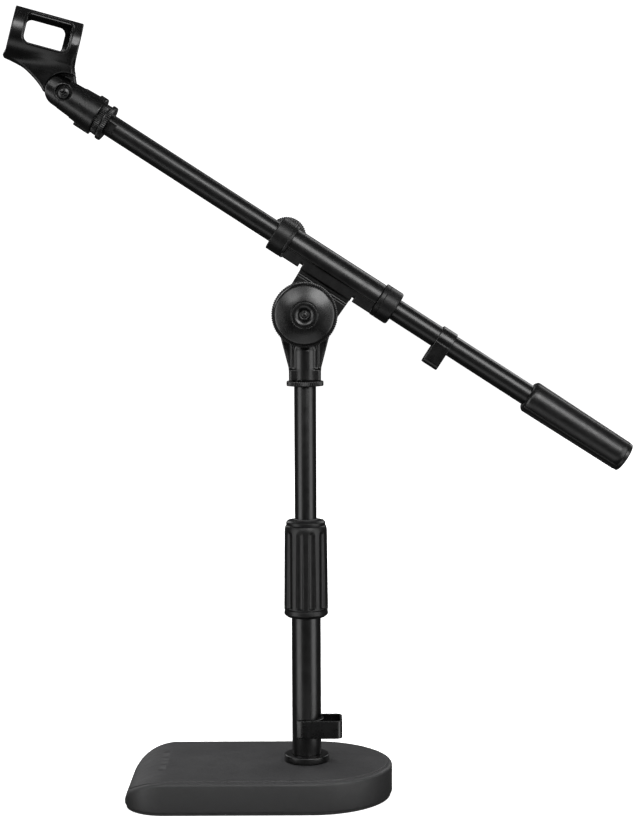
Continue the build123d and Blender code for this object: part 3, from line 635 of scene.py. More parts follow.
low, high = span("clutch_base_ring", POST)
band_top = span("clutch_grip", POST)[0]
band_radius = reach("clutch_base_ring", POST)
band_bore = 11.15
lathe(
    "clutch_band",
    POST,
    rounded(
        [
            (low, band_bore + 1.5),
            (low, band_bore),
            (high, band_bore),
            (high, band_bore + 2.4),
            (band_top, band_bore + 2.4),
            (band_top, band_radius - 0.35),
            (low + 2.0, band_radius),
            (low, band_radius - 2.4),
            (low, band_bore + 1.5),
        ],
        [0.2, 0.2, 0.2, 0.1, 0.35, 1.2, 0.8],
    ),
    "clutch",
    "handle_plastic",
    ["clutch_base_ring"],
)

low, high = span("clutch_top_ring", POST)
grip_low, grip_high = span("clutch_grip", POST)
top_radius = reach("clutch_top_ring", POST)
top_bore = 9.1
lathe(
    "clutch_crown",
    POST,
    rounded(
        [
            (low + 1.0, top_bore),
            (low, top_bore),
            (low, top_bore + 1.7),
            (grip_high + 0.05, top_bore + 1.7),
            (grip_high + 0.05, top_radius),
            (high - 1.3, top_radius),
            (high, top_radius - 1.2),
            (high, top_bore),
            (low + 1.0, top_bore),
        ],
        [0.1, 0.1, 0.1, 0.25, 0.5, 0.5, 0.3],
    ),
    "clutch",
    "handle_plastic",
    ["clutch_top_ring"],
)

FLUTES = 11
flute_radius = 4.2
flute_middle = 18.95
flute_foot = grip_low + 1.2
flute_head = grip_high - 6.5


def fluted(station, radius, angle):
    """Radius of the clutch grip where a finger groove cuts it."""
    turn = 2 * math.pi / FLUTES
    first = -math.pi / 2 + turn / 2
    offset = (angle - first + turn / 2) % turn - turn / 2
    cut_radius = flute_radius
    if station > flute_head:
        cut_radius = math.sqrt(max(flute_radius**2 - (station - flute_head) ** 2, 0))
    if station < flute_foot + 0.8:
        cut_radius -= (flute_foot + 0.8 - station) * 1.6
    side = flute_middle * math.sin(offset)
    if radius < 14.2 or abs(side) > cut_radius + 0.8:
        return radius
    groove = flute_middle * math.cos(offset) - math.sqrt(max(cut_radius**2 - side**2, 0))
    if abs(side) > cut_radius:
        groove = flute_middle * math.cos(offset)
    blend = 0.35
    h = min(max(0.5 + 0.5 * (groove - radius) / blend, 0), 1)
    return groove * (1 - h) + radius * h - blend * h * (1 - h)


grip_outer_low = 16.2
grip_outer_high = 15.6
grip_stations = [grip_low + 0.3, grip_low + 0.9, flute_foot, flute_foot + 0.4, flute_foot + 0.8, flute_foot + 2]
grip_stations += list(np.linspace(flute_foot + 6, flute_head, 8))
grip_stations += [flute_head + flute_radius * math.sin(math.pi / 2 * k / 9) for k in range(1, 10)]
grip_stations += [grip_high - 1.9]


def grip_wall(station):
    t = (station - grip_low) / (grip_high - 5 - grip_low)
    straight = grip_outer_low + (grip_outer_high - grip_outer_low) * min(t, 1)
    over = max(station - (grip_high - 5), 0) / 5
    return straight - 0.9 * over**2.2


grip_profile = [(grip_low, 13.9), (grip_low, grip_wall(grip_low) - 0.3)]
grip_profile += [(s, grip_wall(s)) for s in grip_stations]
grip_profile += [(grip_high - 1.0, grip_wall(grip_high - 1.0)), (grip_high - 0.3, grip_wall(grip_high - 0.3))]
grip_profile += [(grip_high, grip_wall(grip_high) - 0.3), (grip_high, 11.1), (grip_high - 3.5, 11.1)]
grip_profile += [(grip_low + 38, 13.0), (grip_low + 37, 13.9), (grip_low, 13.9)]
lathe(
    "clutch_fluted_grip",
    POST,
    grip_profile,
    "clutch",
    "handle_plastic",
    ["clutch_grip"],
    segments=FLUTES * 30,
    shape=fluted,
)

# knurled rings

KNURL = 54
RISER_BORE = 6.1  # of the parts on the riser's threaded end


def knurled(plain_radius, depth=0.42):
    """Rounded V knurl cut into everything outside a radius."""

    def shape(station, radius, angle):
        if radius < plain_radius:
            return radius
        phase = (angle * KNURL / (2 * math.pi)) % 1.0
        return radius - depth * abs(2 * phase - 1) ** 1.3

    return shape


low, high = span("riser_lock_ring", POST)
ring_radius = reach("riser_lock_ring", POST)
lathe(
    "riser_ring_knurled",
    POST,
    tube_profile(low, high, RISER_BORE, ring_radius, 0.7),
    "riser_ring",
    "black_steel",
    ["riser_lock_ring"],
    segments=KNURL * 8,
    shape=knurled(ring_radius - 0.75),
)

low, high = span("tip_lock_ring", BOOM)
ring_radius = reach("tip_lock_ring", BOOM)
ring_width = 3.6
tip_hub_radius = 12.0
lathe(
    "tip_ring_knurled",
    BOOM,
    rounded(
        [
            ((low + high) / 2, 4.85),
            (low, 4.85),
            (low, tip_hub_radius - 0.2),
            (high - ring_width - 0.9, tip_hub_radius),
            (high - ring_width - 0.9, tip_hub_radius - 0.8),
            (high - ring_width, tip_hub_radius - 0.8),
            (high - ring_width, ring_radius),
            (high, ring_radius),
            (high, 4.85),
            ((low + high) / 2, 4.85),
        ],
        [0.2, 0.6, 0.3, 0.2, 0.2, 0.6, 0.7, 0.2],
    ),
    "tip_ring",
    "black_steel",
    ["tip_lock_ring"],
    segments=KNURL * 8,
    shape=knurled(tip_hub_radius - 0.3, 0.38),
)

# knobs

# slope of the crown in degrees (positive falls towards the rim), at shares of the crown's radius
CROWN_SLOPES = [
    (0.000, 0), (0.035, 12), (0.065, 26), (0.100, 34), (0.120, 0), (0.140, -18), (0.165, -60), (0.190, -52),
    (0.240, -30), (0.290, -18), (0.320, -12), (0.345, 0), (0.360, 5), (0.420, 8), (0.560, 13), (0.680, 17.5),
    (0.800, 19), (0.900, 20), (0.935, 28), (0.965, 48), (0.985, 66), (1.000, 84),
]


def crown_line(crown, top):
    """Points (station, radius) of a knob's crown from its middle outwards, its highest ring at the top station."""
    radii = np.linspace(0, 1, 121)
    slopes = np.interp(radii, [r for r, _ in CROWN_SLOPES], [a for _, a in CROWN_SLOPES])
    fall = np.concatenate([[0], np.cumsum(np.tan(np.radians((slopes[1:] + slopes[:-1]) / 2)) * np.diff(radii))])
    fall = (fall - fall.min()) * crown
    return [(top - f, r * crown) for f, r in zip(fall, radii)]


def knob_piece(name, node, place, rim_width, hub_radius, teeth, depth, body):
    """Crowned knob: serrated rim, smooth crown with a thin groove round its face, and a dimple with a nub."""
    low, high = span(node, place)
    radius = reach(node, place)
    rim_start = low + (high - low) * 0.14
    rim_end = rim_start + rim_width
    crown = radius - 1.7
    groove = crown * 0.425
    top = []
    for station, r in crown_line(crown, high):
        notch = 0.5 * math.exp(-(((r - groove) / 0.22) ** 2))
        top.append((station - notch, r))
    profile = [(low, 0), (low, hub_radius - 0.6), (low + 0.5, hub_radius)]
    profile += [(rim_start - 0.4, hub_radius + 0.4), (rim_start, hub_radius + 1.0), (rim_start, radius - 1.4)]
    profile += [(rim_start + 0.25, radius - 0.5), (rim_start + 0.8, radius)]
    profile += [(rim_end - 0.7, radius), (rim_end - 0.2, radius - 0.25), (rim_end, radius - 0.6)]
    profile += [(rim_end + 0.02, crown + 0.15), (rim_end + 0.3, crown)]
    profile += top[::-1]

    def serrated(station, at, angle):
        if at < radius - 1.0:
            return at
        phase = (angle * teeth / (2 * math.pi)) % 1.0
        return at - depth * abs(2 * phase - 1) ** 1.2

    lathe(name, place, profile, body, "knob_plastic", [node], segments=teeth * 6, shape=serrated)


knob_piece("tilt_knob_domed", "tilt_knob", TILT, 5.2, 12.5, 90, 0.55, "tilt_knob")
knob_piece("lock_knob_domed", "boom_lock_knob", LOCK, 5.0, 7.0, 54, 0.6, "lock_knob")

# boom grip and its plug

GRIP_LINES = [math.radians(a) for a in (22, 134, 156, -22, -134, -156)]  # from the top of the grip
low, high = span("grip_sleeve", BOOM)
grip_start, grip_end = low, high
start_radius = 12.1
end_radius = 11.5


def grooved(station, radius, angle):
    """Fine round-bottomed lines along the boom grip."""
    if radius < 10.6:
        return radius
    depth = 0.0
    for line in GRIP_LINES:
        side = ((angle - line + math.pi) % (2 * math.pi) - math.pi) * radius
        depth += math.exp(-((side / 0.5) ** 2))
    fade = min(max((station - grip_start - 1.2) / 1.5, 0), 1)
    return radius - 0.55 * fade * depth


steps = 18
outer_line = [
    (low + 2.6 + (high - low - 3.0) * k / steps, start_radius + (end_radius - start_radius) * k / steps)
    for k in range(steps + 1)
]
profile = [(low + 20, 8.1), (low, 8.1), (low, start_radius - 2.2), (low + 0.35, start_radius - 1.7)]
profile += [(low + 0.9, start_radius - 1.0), (low + 1.6, start_radius - 0.4)]
profile += outer_line
profile += [(high, end_radius - 0.4), (high, 9.1), (low + 47, 9.1), (low + 47, 8.1), (low + 20, 8.1)]
lathe(
    "boom_grip",
    BOOM,
    profile,
    "boom",
    "grip_rubber",
    ["grip_sleeve"],
    segments=360,
    shape=grooved,
)

low, high = span("grip_end_plug", BOOM)
lathe(
    "boom_grip_plug",
    BOOM,
    rounded(
        [
            (low, 0),
            (low, 8.9),
            (grip_end + 0.02, 8.9),
            (grip_end + 0.02, end_radius - 0.2),
            (high - 2.4, end_radius - 0.3),
            (high - 1.7, end_radius - 1.4),
            (high - 1.3, end_radius - 3.2),
            (high - 1.3, 0),
        ],
        [0.4, 0.1, 0.3, 0.9, 1.6, 1.0],
        steps=6,
    ),
    "boom",
    "grip_rubber",
    ["grip_end_plug"],
)

# caps of the boom's sleeve

strap_start, strap_end = span("boom_strap", BOOM)
low, high = span("sleeve_cap_front", BOOM)
cap_front_radius = reach("sleeve_cap_front", BOOM)
lathe(
    "sleeve_cap_front_moulded",
    BOOM,
    rounded(
        [
            (low + 3, 9.72),
            (low, 9.72),
            (low, cap_front_radius - 0.5),
            (low + 0.5, cap_front_radius),
            (low + 3.2, cap_front_radius),
            (low + 3.5, cap_front_radius - 0.28),
            (low + 3.8, cap_front_radius),
            (high, cap_front_radius),
            (high, 9.4),
            (high - 1.3, 8.35),
            (high - 3.9, 8.35),
            (high - 3.9, 9.72),
            (low + 3, 9.72),
        ],
        [0.1, 0.2, 0.3, 0.08, 0.06, 0.08, 2.8, 0.5, 0.2, 0.1, 0.1],
        steps=6,
    ),
    "boom_head",
    "handle_plastic",
    ["sleeve_cap_front"],
)

# ---------------- skins of distance fields


def into(place, other):
    """Function that takes coordinates of one place to another, both in mm."""
    turn = np.array([place.x, place.y, place.z]) @ np.array([other.x, other.y, other.z]).T
    shift = np.array([(place.origin - other.origin) @ a for a in (other.x, other.y, other.z)])

    def move(x, y, z):
        return tuple(x * turn[0, k] + y * turn[1, k] + z * turn[2, k] + shift[k] for k in range(3))

    return move


# rear cap with the boss of its lock screw

boss_axis = Place(LOCK.origin, boom_dir, LOCK.z)
to_boss = into(BOOM, boss_axis)
cap_low, cap_high = span("sleeve_cap_rear", BOOM)
cap_bore = 9.72
cap_mouth = 8.4
cap_rear_radius = 13.3
boss_end = 16.6


def rear_cap_field(x, y, z):
    r = np.hypot(x, y)
    middle = (cap_low + cap_high) / 2
    across = r - (cap_rear_radius + cap_mouth) / 2
    body = box2(across, z - middle, (cap_rear_radius - cap_mouth) / 2, (cap_high - cap_low) / 2, 0.8)
    bx, by, bz = to_boss(x, y, z)
    boss = box2(np.hypot(bx, by), bz - 12, 5.6, boss_end - 12, 0.7)
    boss = meet(boss, 11.45 - r)
    body = join(body, boss, 1.6)
    inside = np.maximum(r - cap_bore, cap_low + 3.9 - z)
    seam = np.hypot(r - cap_rear_radius, z - (cap_high - 2.6)) - 0.3
    mouth = np.maximum(r - cap_mouth - np.maximum(cap_low + 1.3 - z, 0) * 0.8, z - cap_low - 5)
    body = cut(body, inside, 0.1)
    body = cut(body, mouth, 0.2)
    body = cut(body, seam, 0.2)
    return cut(body, np.hypot(bx, by) - 4.45 + 100 * (bz < 8), 0.2)


skin("sleeve_cap_rear_moulded", "sleeve_cap_rear", BOOM, rear_cap_field, 0.42, "boom_head", "handle_plastic")

# strap: the folded steel sleeve with its side plates

LINER = 9.75  # inner radius of the sleeve
SLEEVE = 11.3  # outer radius of the sleeve
BOLT_HOLE = 5.1
keel_depth = -12.4
keel_middle = 8.2
plate_middle = 7.4
plate_round = 19.0
pivot_drop = (pivot - boom_foot) @ boom_up
plate_outline = [
    (-20.3, keel_depth + 4),
    (21.9, keel_depth + 4),
    (21.1, keel_depth - 15),
    (plate_round, pivot_drop),
    (-plate_round, pivot_drop),
    (-19.7, keel_depth - 15),
]


def strap_field(x, y, z):
    """x along the boom, y up from its axis, z to the front."""
    side = np.abs(z)
    r = np.hypot(y, z)
    mid = (strap_start + strap_end) / 2
    half = (strap_end - strap_start) / 2
    shell = np.maximum(np.abs(r - (LINER + SLEEVE) / 2) - (SLEEVE - LINER) / 2, -y - 4.2)
    skirt = box2(side - keel_middle, y - (keel_depth - 3.6) / 2, 0.8, (-3.6 - keel_depth) / 2, 0.5)
    skirt_gaps = np.minimum(np.abs(x + 21.6) - 1.3, np.abs(x - 22.85) - 0.95)
    skirt = cut(skirt, np.maximum(skirt_gaps, y + 8.2), 0.4)
    fold = join(shell, skirt, 1.2)
    fold = meet(fold, np.abs(x - mid) - half, 0.5)
    plate = np.minimum(polygon(x, y, plate_outline), np.hypot(x, y - pivot_drop) - plate_round)
    groove = np.minimum(np.abs(y - (keel_depth - 3.0)), np.abs(y - (keel_depth - 4.6))) - 0.28
    plate = meet(plate, np.abs(side - plate_middle) - 0.8, 0.5)
    plate = cut(plate, np.maximum(groove, 8.0 - side), 0.15)
    body = join(fold, plate, 0.9)
    return cut(body, np.minimum(r - LINER, np.hypot(x, y - pivot_drop) - BOLT_HOLE), 0.2)


skin("boom_strap_folded", "boom_strap", BOOM_SIDE, strap_field, 0.42, "boom_head", "black_steel")

# swivel yoke

yoke_low = span("swivel_yoke", POST)[0]
head_radius = 19.5
head_height = pivot[2]
yoke_waist = yoke_low + 7
yoke_foot = 11.25
yoke_shoulder = 336.5
web_half = 5.6
boss_top = 332.0
boss_radius = 9.4
bore_top = 326.5
yoke_outline = [
    (-yoke_foot, yoke_low),
    (yoke_foot, yoke_low),
    (yoke_foot, yoke_waist),
    (17.5, yoke_shoulder),
    (head_radius, head_height),
    (-head_radius, head_height),
    (-17.5, yoke_shoulder),
    (-yoke_foot, yoke_waist),
]
yoke_pocket = [
    (9.8, yoke_low + 6.5),
    (10.4, yoke_low + 6.5),
    (14.6, yoke_shoulder - 2.5),
    (9.8, yoke_shoulder - 2.5),
]


def yoke_field(x, y, z):
    """x to the side, y to the rear, z up."""
    flat = np.minimum(polygon(x, z, yoke_outline), np.hypot(x, z - head_height) - head_radius)
    face = np.hypot(x, z - head_height) - head_radius
    web = meet(flat, np.abs(y) - web_half, 1.4)
    pocket = polygon(np.abs(x), z, yoke_pocket)
    web = cut(web, meet(np.maximum(pocket - 0.4, -face - 0.6), 4.4 - np.abs(y)), 0.8)
    foot = meet(box2(x, y, yoke_foot, 7.6, 2.0), slab(z, yoke_low, yoke_low + 8.5), 0.9)
    flare = np.hypot(x, y) - boss_radius + np.maximum(z - boss_top + 5, 0) * 0.25
    boss = meet(flare, slab(z, yoke_low, boss_top), 1.0)
    rib = np.hypot(np.abs(x) - 8.7 - (z - yoke_low) * 0.02, np.abs(y) - 5.2) - 1.0
    rib = meet(rib, slab(z, yoke_low + 7, yoke_shoulder + 2), 0.6)
    body = join(join(web, foot, 1.6), boss, 1.2)
    body = join(body, rib, 0.9)
    body = meet(body, yoke_low - z, 0.5)
    body = cut(body, np.maximum(np.hypot(x, y) - RISER_BORE, z - bore_top), 0.2)
    return cut(body, np.hypot(x, z - head_height) - BOLT_HOLE, 0.2)


skin("swivel_yoke_cast", "swivel_yoke", POST, yoke_field, 0.5, "riser", "cast_zinc")

# clip socket

pivot_s, pivot_n = BOOM_SIDE.local(clip_pivot * MM)[:2]
socket_low, socket_high = span("clip_socket", BOOM)
SOCKET_RISE = 0.8
thin, wide = 10.8, 13.7
bulge = 0.9
fork_half = 4.8
socket_bore = 7.95
recess_radius = 6.0
nut_radius = 4.7
pocket_floor = 8.6
SCREW_HOLE = 2.6


def socket_field(s, n, w):
    """s along the boom, n up, w to the front."""
    length = socket_high - socket_low
    t = (s - socket_low) / length
    half = thin + (wide - thin) * t
    cone = np.hypot(n - SOCKET_RISE, w) - half - bulge
    top = n - SOCKET_RISE - half - 0.8 * (1 - t)
    low = SOCKET_RISE - n - half - 0.2 * (1 - t)
    body = meet(cone, np.maximum(top, low), 1.6)
    ear = box2(s - socket_low - 30, n - 1.35, 30, 11.45, 10.4)
    ear = np.where(s < socket_low + 14, ear, body)
    body = meet(meet(body, ear, 0.8), s - socket_high, 0.6)
    top_block = meet(box2(s - socket_high + 2.95, w, 2.95, 4.0, 0.8), np.maximum(n - 15.0, -n), 0.8)
    rib = meet(box2(s - socket_high + 6.2, w, 6.2, 4.0, 0.8), np.maximum(-13.9 - n, n), 0.8)
    body = join(join(body, top_block, 0.7), rib, 0.7)
    fork = np.maximum(np.abs(w) - fork_half, s - pivot_s - 11.0)
    bore = np.maximum(np.hypot(n, w) - socket_bore, pivot_s + 14.2 - s)
    hole = np.hypot(s - pivot_s, n - pivot_n)
    recess = np.maximum(hole - recess_radius, pocket_floor - w)
    nut = np.maximum(hole - nut_radius, pocket_floor + w)
    body = cut(body, fork, 0.5)
    body = cut(body, bore, 0.4)
    body = cut(body, recess, 0.7)
    body = cut(body, nut, 0.3)
    return cut(body, hole - SCREW_HOLE, 0.1)


skin("clip_socket_moulded", "clip_socket", BOOM_SIDE, socket_field, 0.4, "socket", "clip_plastic")

# mic clip

barrel_middle = np.array(mounts["clip_bore"]["pos_m"]) / MM
BARREL = Place(barrel_middle, clip_axis, np.cross(clip_axis, clip_up))
to_clip_side = into(BARREL, CLIP_SIDE)
barrel_half = 24.75
barrel_radius = 19.7
barrel_bore = float(mounts["clip_bore"]["dims"]["r_mm"])
jaw_angle = math.radians(25)
# windows: middle along and up, length and height
front_window = (1.3, 4.75, 31.7, 21.9)
rear_window = (-0.5, 3.45, 29.0, 17.9)
window_round = 4.5
tongue_radius = 10.5
tongue_half = 4.6
# side outlines of the neck and of the tongue in the fork, from the clip's pivot
neck_outline = [(5.4, 9.9), (4.5, 12.0), (3.0, 16.0), (2.0, 21.0), (1.0, 28.0), (0.6, 34.0), (-44, 34), (-48.0, 15.6)]
neck_outline += [(-46.0, 14.4), (-41.1, 12.7), (-37.2, 11.7), (-33.5, 10.4), (-29.8, 8.7), (-26.1, 6.5), (-23.4, 4.8)]
neck_outline += [(-20.9, 2.9), (-17.4, 0.0), (-15.4, -2.2), (-9.2, -5.0), (0, -3)]
tongue_outline = [(-26.1, 6.5), (-20.9, 2.9), (-17.4, 0.0), (-9.2, -5.0), (0, 0), (9.6, 4.2), (5.4, 9.9), (4.5, 12.0)]
tongue_outline += [(3.0, 16.0), (3.0, 20), (-28, 20)]


def clip_field(x, y, z):
    """x along the barrel, y up, z to the front."""
    r = np.hypot(y, z)
    wall = barrel_radius - barrel_bore
    shell = box2(r - (barrel_radius + barrel_bore) / 2, x, wall / 2, barrel_half, 0.9)
    u, v, w = to_clip_side(x, y, z)
    from_pivot = np.hypot(u, v)
    side = np.abs(w)
    width = np.interp(v, [2, 11, 20, 31], [8.4, 9.4, 12.6, 14.5])
    neck = meet(polygon(u, v, neck_outline), side - width, 2.6)
    neck = cut(neck, from_pivot - 14.2, 0.6)
    neck = cut(neck, np.maximum(barrel_half - x, r - barrel_radius), 0.3)
    body = join(cut(shell, from_pivot - 13.9, 0.2), neck, 3.2)
    tongue = np.minimum(polygon(u, v, tongue_outline), from_pivot - tongue_radius)
    body = join(body, meet(tongue, side - tongue_half, 0.7), 0.5)
    for facing, (along, up, length, height) in ((z, front_window), (-z, rear_window)):
        frame_edge = box2(x - along, y - up, length / 2, height / 2, window_round)
        bead = np.hypot(frame_edge - 0.75, r - barrel_radius + 0.1) - 0.72
        bead = np.maximum(bead, -facing)
        body = join(body, bead, 0.5)
        body = cut(body, np.maximum(frame_edge, -facing), 0.35)
    body = cut(body, r - barrel_bore, 0.3)
    wedge = np.abs(z) * math.cos(jaw_angle) - y * math.sin(jaw_angle)
    body = cut(body, wedge, 1.2)
    return cut(body, from_pivot - SCREW_HOLE, 0.2)


skin("mic_clip_moulded", "mic_clip", BARREL, clip_field, 0.45, "clip", "clip_plastic")

# clip screw with a cross recess

screw_low, screw_high = span("clip_screw", CLIP_SIDE)


def screw_field(x, y, z):
    r = np.hypot(x, y)
    head = meet(r - 4.4, slab(z, 8.65, screw_high), 0.3)
    ball = np.sqrt(r * r + (z - screw_high + 8.2) ** 2) - 8.2
    head = meet(head, ball, 0.5)
    shank = meet(r - 2.5, slab(z, screw_low, 10), 0.3)
    slot = np.minimum(box2(x, y, 2.5, 0.55, 0.2), box2(x, y, 0.55, 2.5, 0.2))
    cross = np.maximum(slot + (screw_high - z) * 0.25, screw_high - 2.0 - z)
    return cut(join(head, shank, 0.2), cross, 0.2)


skin("clip_screw_pan_head", "clip_screw", CLIP_SIDE, screw_field, 0.22, "socket", "black_steel", margin=0.8)


# cable clips


def cable_clip_piece(name, node, place, tube_radius, wall, reach_out, gap_angle, gap_half, body):
    """Snap clip: place's x runs towards the cable loop, z along the tube."""
    inner = tube_radius + 0.05
    outer = inner + wall
    low, high = span(node, place)
    middle = (reach_out - 1) / 2 + 0.5
    corner = wall + 2.6

    def field(x, y, z):
        r = np.hypot(x, y)
        loop_out = box2(x - middle, y, reach_out / 2, outer, corner)
        loop_in = box2(x - middle, y, reach_out / 2 - wall, outer - wall, corner - wall)
        profile = join(np.maximum(loop_out, -loop_in), np.abs(r - (inner + outer) / 2) - wall / 2, 0.5)
        a = math.radians(gap_angle)
        ax = x * math.cos(a) + y * math.sin(a)
        ay = -x * math.sin(a) + y * math.cos(a)
        half = math.radians(gap_half)
        opening = np.abs(ay) * math.cos(half) - ax * math.sin(half)
        profile = cut(profile, opening, 0.9)
        profile = cut(profile, r - inner, 0.1)
        return meet(profile, slab(z, low, high), 0.55)

    skin(name, node, place, field, 0.4, body, "clip_plastic")


cable_clip_piece("post_cable_clip_moulded", "post_cable_clip", POST, 10.75, 1.7, 26.2, 180, 52, "post_clip")
HANGING = Place(boom_foot, -boom_up, boom_dir)
cable_clip_piece("boom_cable_clip_moulded", "boom_cable_clip", HANGING, 8.0, 1.3, 21.0, 90, 42, "boom_clip")

# ---------------- base

base_low, base_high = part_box("base_weight")
half_width = base_high[1] / MM
base_left = base_low[0] / MM
base_right = base_high[0] / MM
round_centre = base_right - half_width
roof = base_high[2] / MM
foot_level = base_low[2] / MM
corner_radius = 30.0
roll_start = base_left + 33.0
roll_axis = 34.0
ROUND_STEPS = 64
CORNER_STEPS = 24
STRAIGHT_STEPS = 12


def rim_loop(inset):
    """Points of the base's outline moved inwards, anticlockwise from the front of its round end."""
    half = half_width - inset
    left = base_left + inset
    corner = max(corner_radius - inset, 0.4)
    straight = [k / STRAIGHT_STEPS for k in range(1, STRAIGHT_STEPS)]
    out = []
    for k in range(ROUND_STEPS + 1):
        a = -math.pi / 2 + math.pi * k / ROUND_STEPS
        out.append((round_centre + half * math.cos(a), half * math.sin(a)))
    for t in straight:
        out.append((round_centre + (left + corner - round_centre) * t, half))
    for k in range(CORNER_STEPS + 1):
        a = math.pi / 2 + math.pi / 2 * k / CORNER_STEPS
        out.append((left + corner + corner * math.cos(a), half - corner + corner * math.sin(a)))
    for t in straight:
        out.append((left, (half - corner) * (1 - 2 * t)))
    for k in range(CORNER_STEPS + 1):
        a = math.pi + math.pi / 2 * k / CORNER_STEPS
        out.append((left + corner + corner * math.cos(a), corner - half + corner * math.sin(a)))
    for t in straight:
        out.append((left + corner + (round_centre - left - corner) * t, -half))
    return out


def roll_height(x):
    """Height of the base's top surface: flat, then an elliptical roll down at its left end."""
    over = max(roll_start - x, 0) / roll_axis
    return foot_level + (roof - foot_level) * math.sqrt(max(1 - over * over, 0))


def slab_mesh(name, rows, slot, node):
    """Closed block on the base's outline, from rows of (inset, drop below the top surface, or else a height)."""
    points = []
    rings = []
    tip = ROUND_STEPS // 2  # the outline's point at the right-hand end
    for inset, drop, height in rows:
        ring = []
        for x, y in rim_loop(inset):
            z = height
            if height is None:
                z = max(roll_height(max(x, base_left + 0.3)) - drop, rows[0][2])
            ring.append(len(points))
            points.append((x, y, z))
        rings.append(ring)
    faces = []
    count = len(rings[0])
    for a, b in zip(rings, rings[1:]):
        for k in range(count):
            n = (k + 1) % count
            faces.append([a[k], a[n], b[n], b[k]])
    for ring, top in ((rings[0], False), (rings[-1], True)):
        for k in range(tip, tip + count // 2):
            mirror = 2 * tip - k
            corners = (k, k + 1, mirror - 1, mirror)
            face = list(dict.fromkeys(ring[c % count] for c in corners))
            faces.append(face if top else face[::-1])
    make(name, points, outward(points, faces), POST, "base", slot, [node], crease=40)


def fillet_rows(radius, drop, steps=7):
    """Rows over a rounded edge, from the wall up to the surface that is `drop` below the top."""
    turns = [math.pi / 2 * k / steps for k in range(steps + 1)]
    return [(radius * (1 - math.cos(t)), drop + radius * (1 - math.sin(t)), None) for t in turns]


rim_drop = 0.8
rows = [(1.0, 0, foot_level), (0.25, 0, foot_level + 0.2), (0.0, 0, foot_level + 0.9)]
rows += fillet_rows(2.6, rim_drop)
rows += [(3.25, rim_drop, None), (3.45, rim_drop + 0.05, None), (3.6, rim_drop - 0.1, None)]
rows += [(3.66, 0.35, None), (3.8, 0.12, None), (4.1, 0.0, None)]
rows += [(i, 0.0, None) for i in (5.5, 8, 12, 17, 23, 29)]
slab_mesh("base_casting", rows, "textured_iron", "base_weight")

pad_inset = 1.2
pad_rows = [(pad_inset + 0.4, 0, 0.0), (pad_inset + 0.1, 0, 0.1), (pad_inset, 0, 0.4)]
pad_rows += [(pad_inset, 0, foot_level - 0.3), (pad_inset + 0.1, 0, foot_level - 0.05)]
pad_rows += [(pad_inset + 0.4, 0, foot_level)]
slab_mesh("base_foot_pad", pad_rows, "pad_rubber", "base_pad")

# ---------------- floor, light and camera

floor_mesh = bpy.data.meshes.new("floor")
side = 30.0  # m
floor_corners = [(-side, -side, 0), (side, -side, 0), (side, side, 0), (-side, side, 0)]
floor_mesh.from_pydata(floor_corners, [], [(0, 1, 2, 3)])
floor = bpy.data.objects.new("floor", floor_mesh)
bpy.context.scene.collection.objects.link(floor)
floor_material, floor_tree, floor_shader = node_tree("floor")
floor_rays = floor_tree.nodes.new("ShaderNodeLightPath")
floor_shader.inputs["Roughness"].default_value = 0.9
floor_shader.inputs["Specular IOR Level"].default_value = 0.1
floor_shader.inputs["Emission Color"].default_value = (1, 1, 1, 1)
seen = floor_rays.outputs["Is Camera Ray"]
glow = ramp(floor_tree, seen, 0.0, 0.85, 0.0, 1.0)
floor_tree.links.new(glow, floor_shader.inputs["Emission Strength"])
mottle = ramp(floor_tree, noise(floor_tree, 3.0), 0, 1)
pale = blend_colour(floor_tree, mottle, (0.90, 0.90, 0.90), (0.92, 0.92, 0.92))
floor_colour = blend_colour(floor_tree, seen, (0.08, 0.08, 0.08), pale)
floor_tree.links.new(floor_colour, floor_shader.inputs["Base Color"])
floor_mesh.materials.append(floor_material)
floor.visible_glossy = False
floor.visible_shadow = False
floor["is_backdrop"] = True

world = bpy.data.worlds.new("studio")
bpy.context.scene.world = world
world.use_nodes = True
tree = world.node_tree
fill = tree.nodes["Background"]
dim = tree.nodes.new("ShaderNodeBackground")
white = tree.nodes.new("ShaderNodeBackground")
# what diffuse rays, glossy rays and the camera see
for background, strength in ((fill, 0.25), (dim, 0.06), (white, 1.2)):
    background.inputs["Color"].default_value = (1, 1, 1, 1)
    background.inputs["Strength"].default_value = strength
rays = tree.nodes.new("ShaderNodeLightPath")
first = tree.nodes.new("ShaderNodeMixShader")
second = tree.nodes.new("ShaderNodeMixShader")
tree.links.new(rays.outputs["Is Glossy Ray"], first.inputs["Fac"])
tree.links.new(fill.outputs[0], first.inputs[1])
tree.links.new(dim.outputs[0], first.inputs[2])
tree.links.new(rays.outputs["Is Camera Ray"], second.inputs["Fac"])
tree.links.new(first.outputs[0], second.inputs[1])
tree.links.new(white.outputs[0], second.inputs[2])
tree.links.new(second.outputs[0], tree.nodes["World Output"].inputs["Surface"])

low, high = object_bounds()
stand_middle = (Vector(low) + Vector(high)) / 2


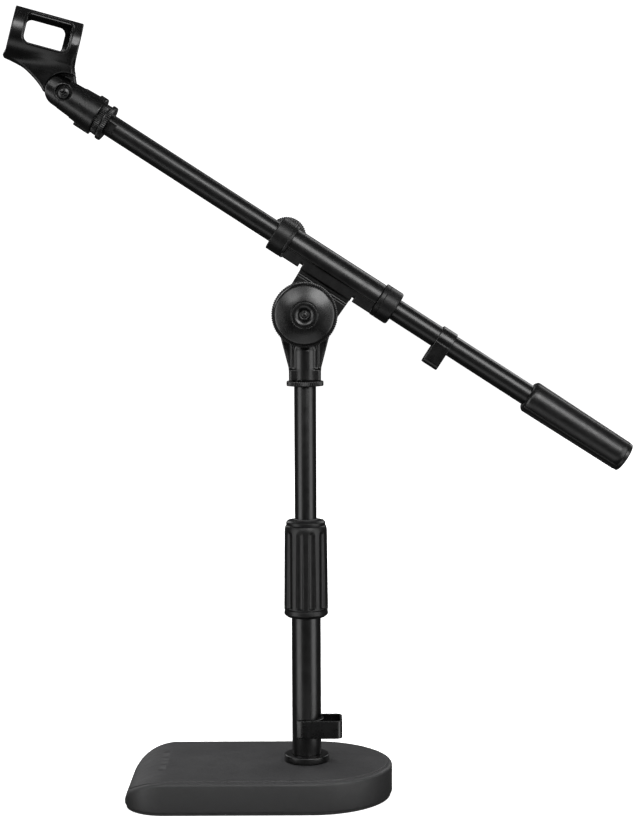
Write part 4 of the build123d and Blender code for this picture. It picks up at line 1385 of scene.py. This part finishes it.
def softbox(name, azimuth, elevation, distance, width, height, radiance, diffuse=True, glossy=True):
    """Area light aimed at the middle of the stand; azimuth 0 is at the camera, positive to the right."""
    a = math.radians(azimuth)
    e = math.radians(elevation)
    offset = Vector((math.sin(a) * math.cos(e), -math.cos(a) * math.cos(e), math.sin(e))) * distance
    data = bpy.data.lights.new(name, "AREA")
    data.shape = "RECTANGLE"
    data.size = width
    data.size_y = height
    data.energy = radiance * width * height * math.pi
    light = bpy.data.objects.new(name, data)
    light.location = stand_middle + offset
    light.rotation_euler = (-offset).to_track_quat("-Z", "Y").to_euler()
    light.visible_diffuse = diffuse
    light.visible_glossy = glossy
    bpy.context.scene.collection.objects.link(light)


softbox("side_left", -60, -2, 3.0, 1.9, 2.8, 2.8, diffuse=False)
softbox("side_right", 60, -2, 3.0, 1.9, 2.8, 2.8, diffuse=False)
softbox("front_left", -21, 27, 5.0, 1.7, 1.5, 6.0, diffuse=False)
softbox("front_right", 25, 27, 5.0, 2.3, 2.1, 8.5, diffuse=False)
softbox("front_middle", 2, 34, 5.0, 2.6, 1.2, 1.5, diffuse=False)
softbox("table_glow", -15, -44, 1.3, 1.7, 0.5, 1.1, diffuse=False)
softbox("back_left", -140, 30, 3.0, 1.2, 2.0, 2.6)
softbox("back_right", 140, 30, 3.0, 1.2, 2.0, 2.6)
softbox("overhead", 0, 84, 2.2, 1.8, 1.8, 7.0, glossy=False)
softbox("overhead_shine", 0, 84, 2.2, 1.2, 1.2, 1.0, diffuse=False)

camera_data = bpy.data.cameras.new("camera")
camera_data.lens = 80.0
camera_data.sensor_width = 36.0
camera = bpy.data.objects.new("camera", camera_data)
bpy.context.scene.collection.objects.link(camera)
pitch = math.radians(4.34)
roll = math.radians(-0.249)
forward = np.array([0, math.cos(pitch), -math.sin(pitch)])
right = np.array([1.0, 0.0, 0.0])
over = np.cross(right, forward)
tilted_right = right * math.cos(roll) + over * math.sin(roll)
tilted_over = over * math.cos(roll) - right * math.sin(roll)
spot = Vector((0.01077, -1.343, 0.38126))
camera.matrix_world = Matrix(
    (
        (tilted_right[0], tilted_over[0], -forward[0], spot[0]),
        (tilted_right[1], tilted_over[1], -forward[1], spot[1]),
        (tilted_right[2], tilted_over[2], -forward[2], spot[2]),
        (0, 0, 0, 1),
    )
)
bpy.context.scene.camera = camera
bpy.context.scene.view_settings.view_transform = "Standard"
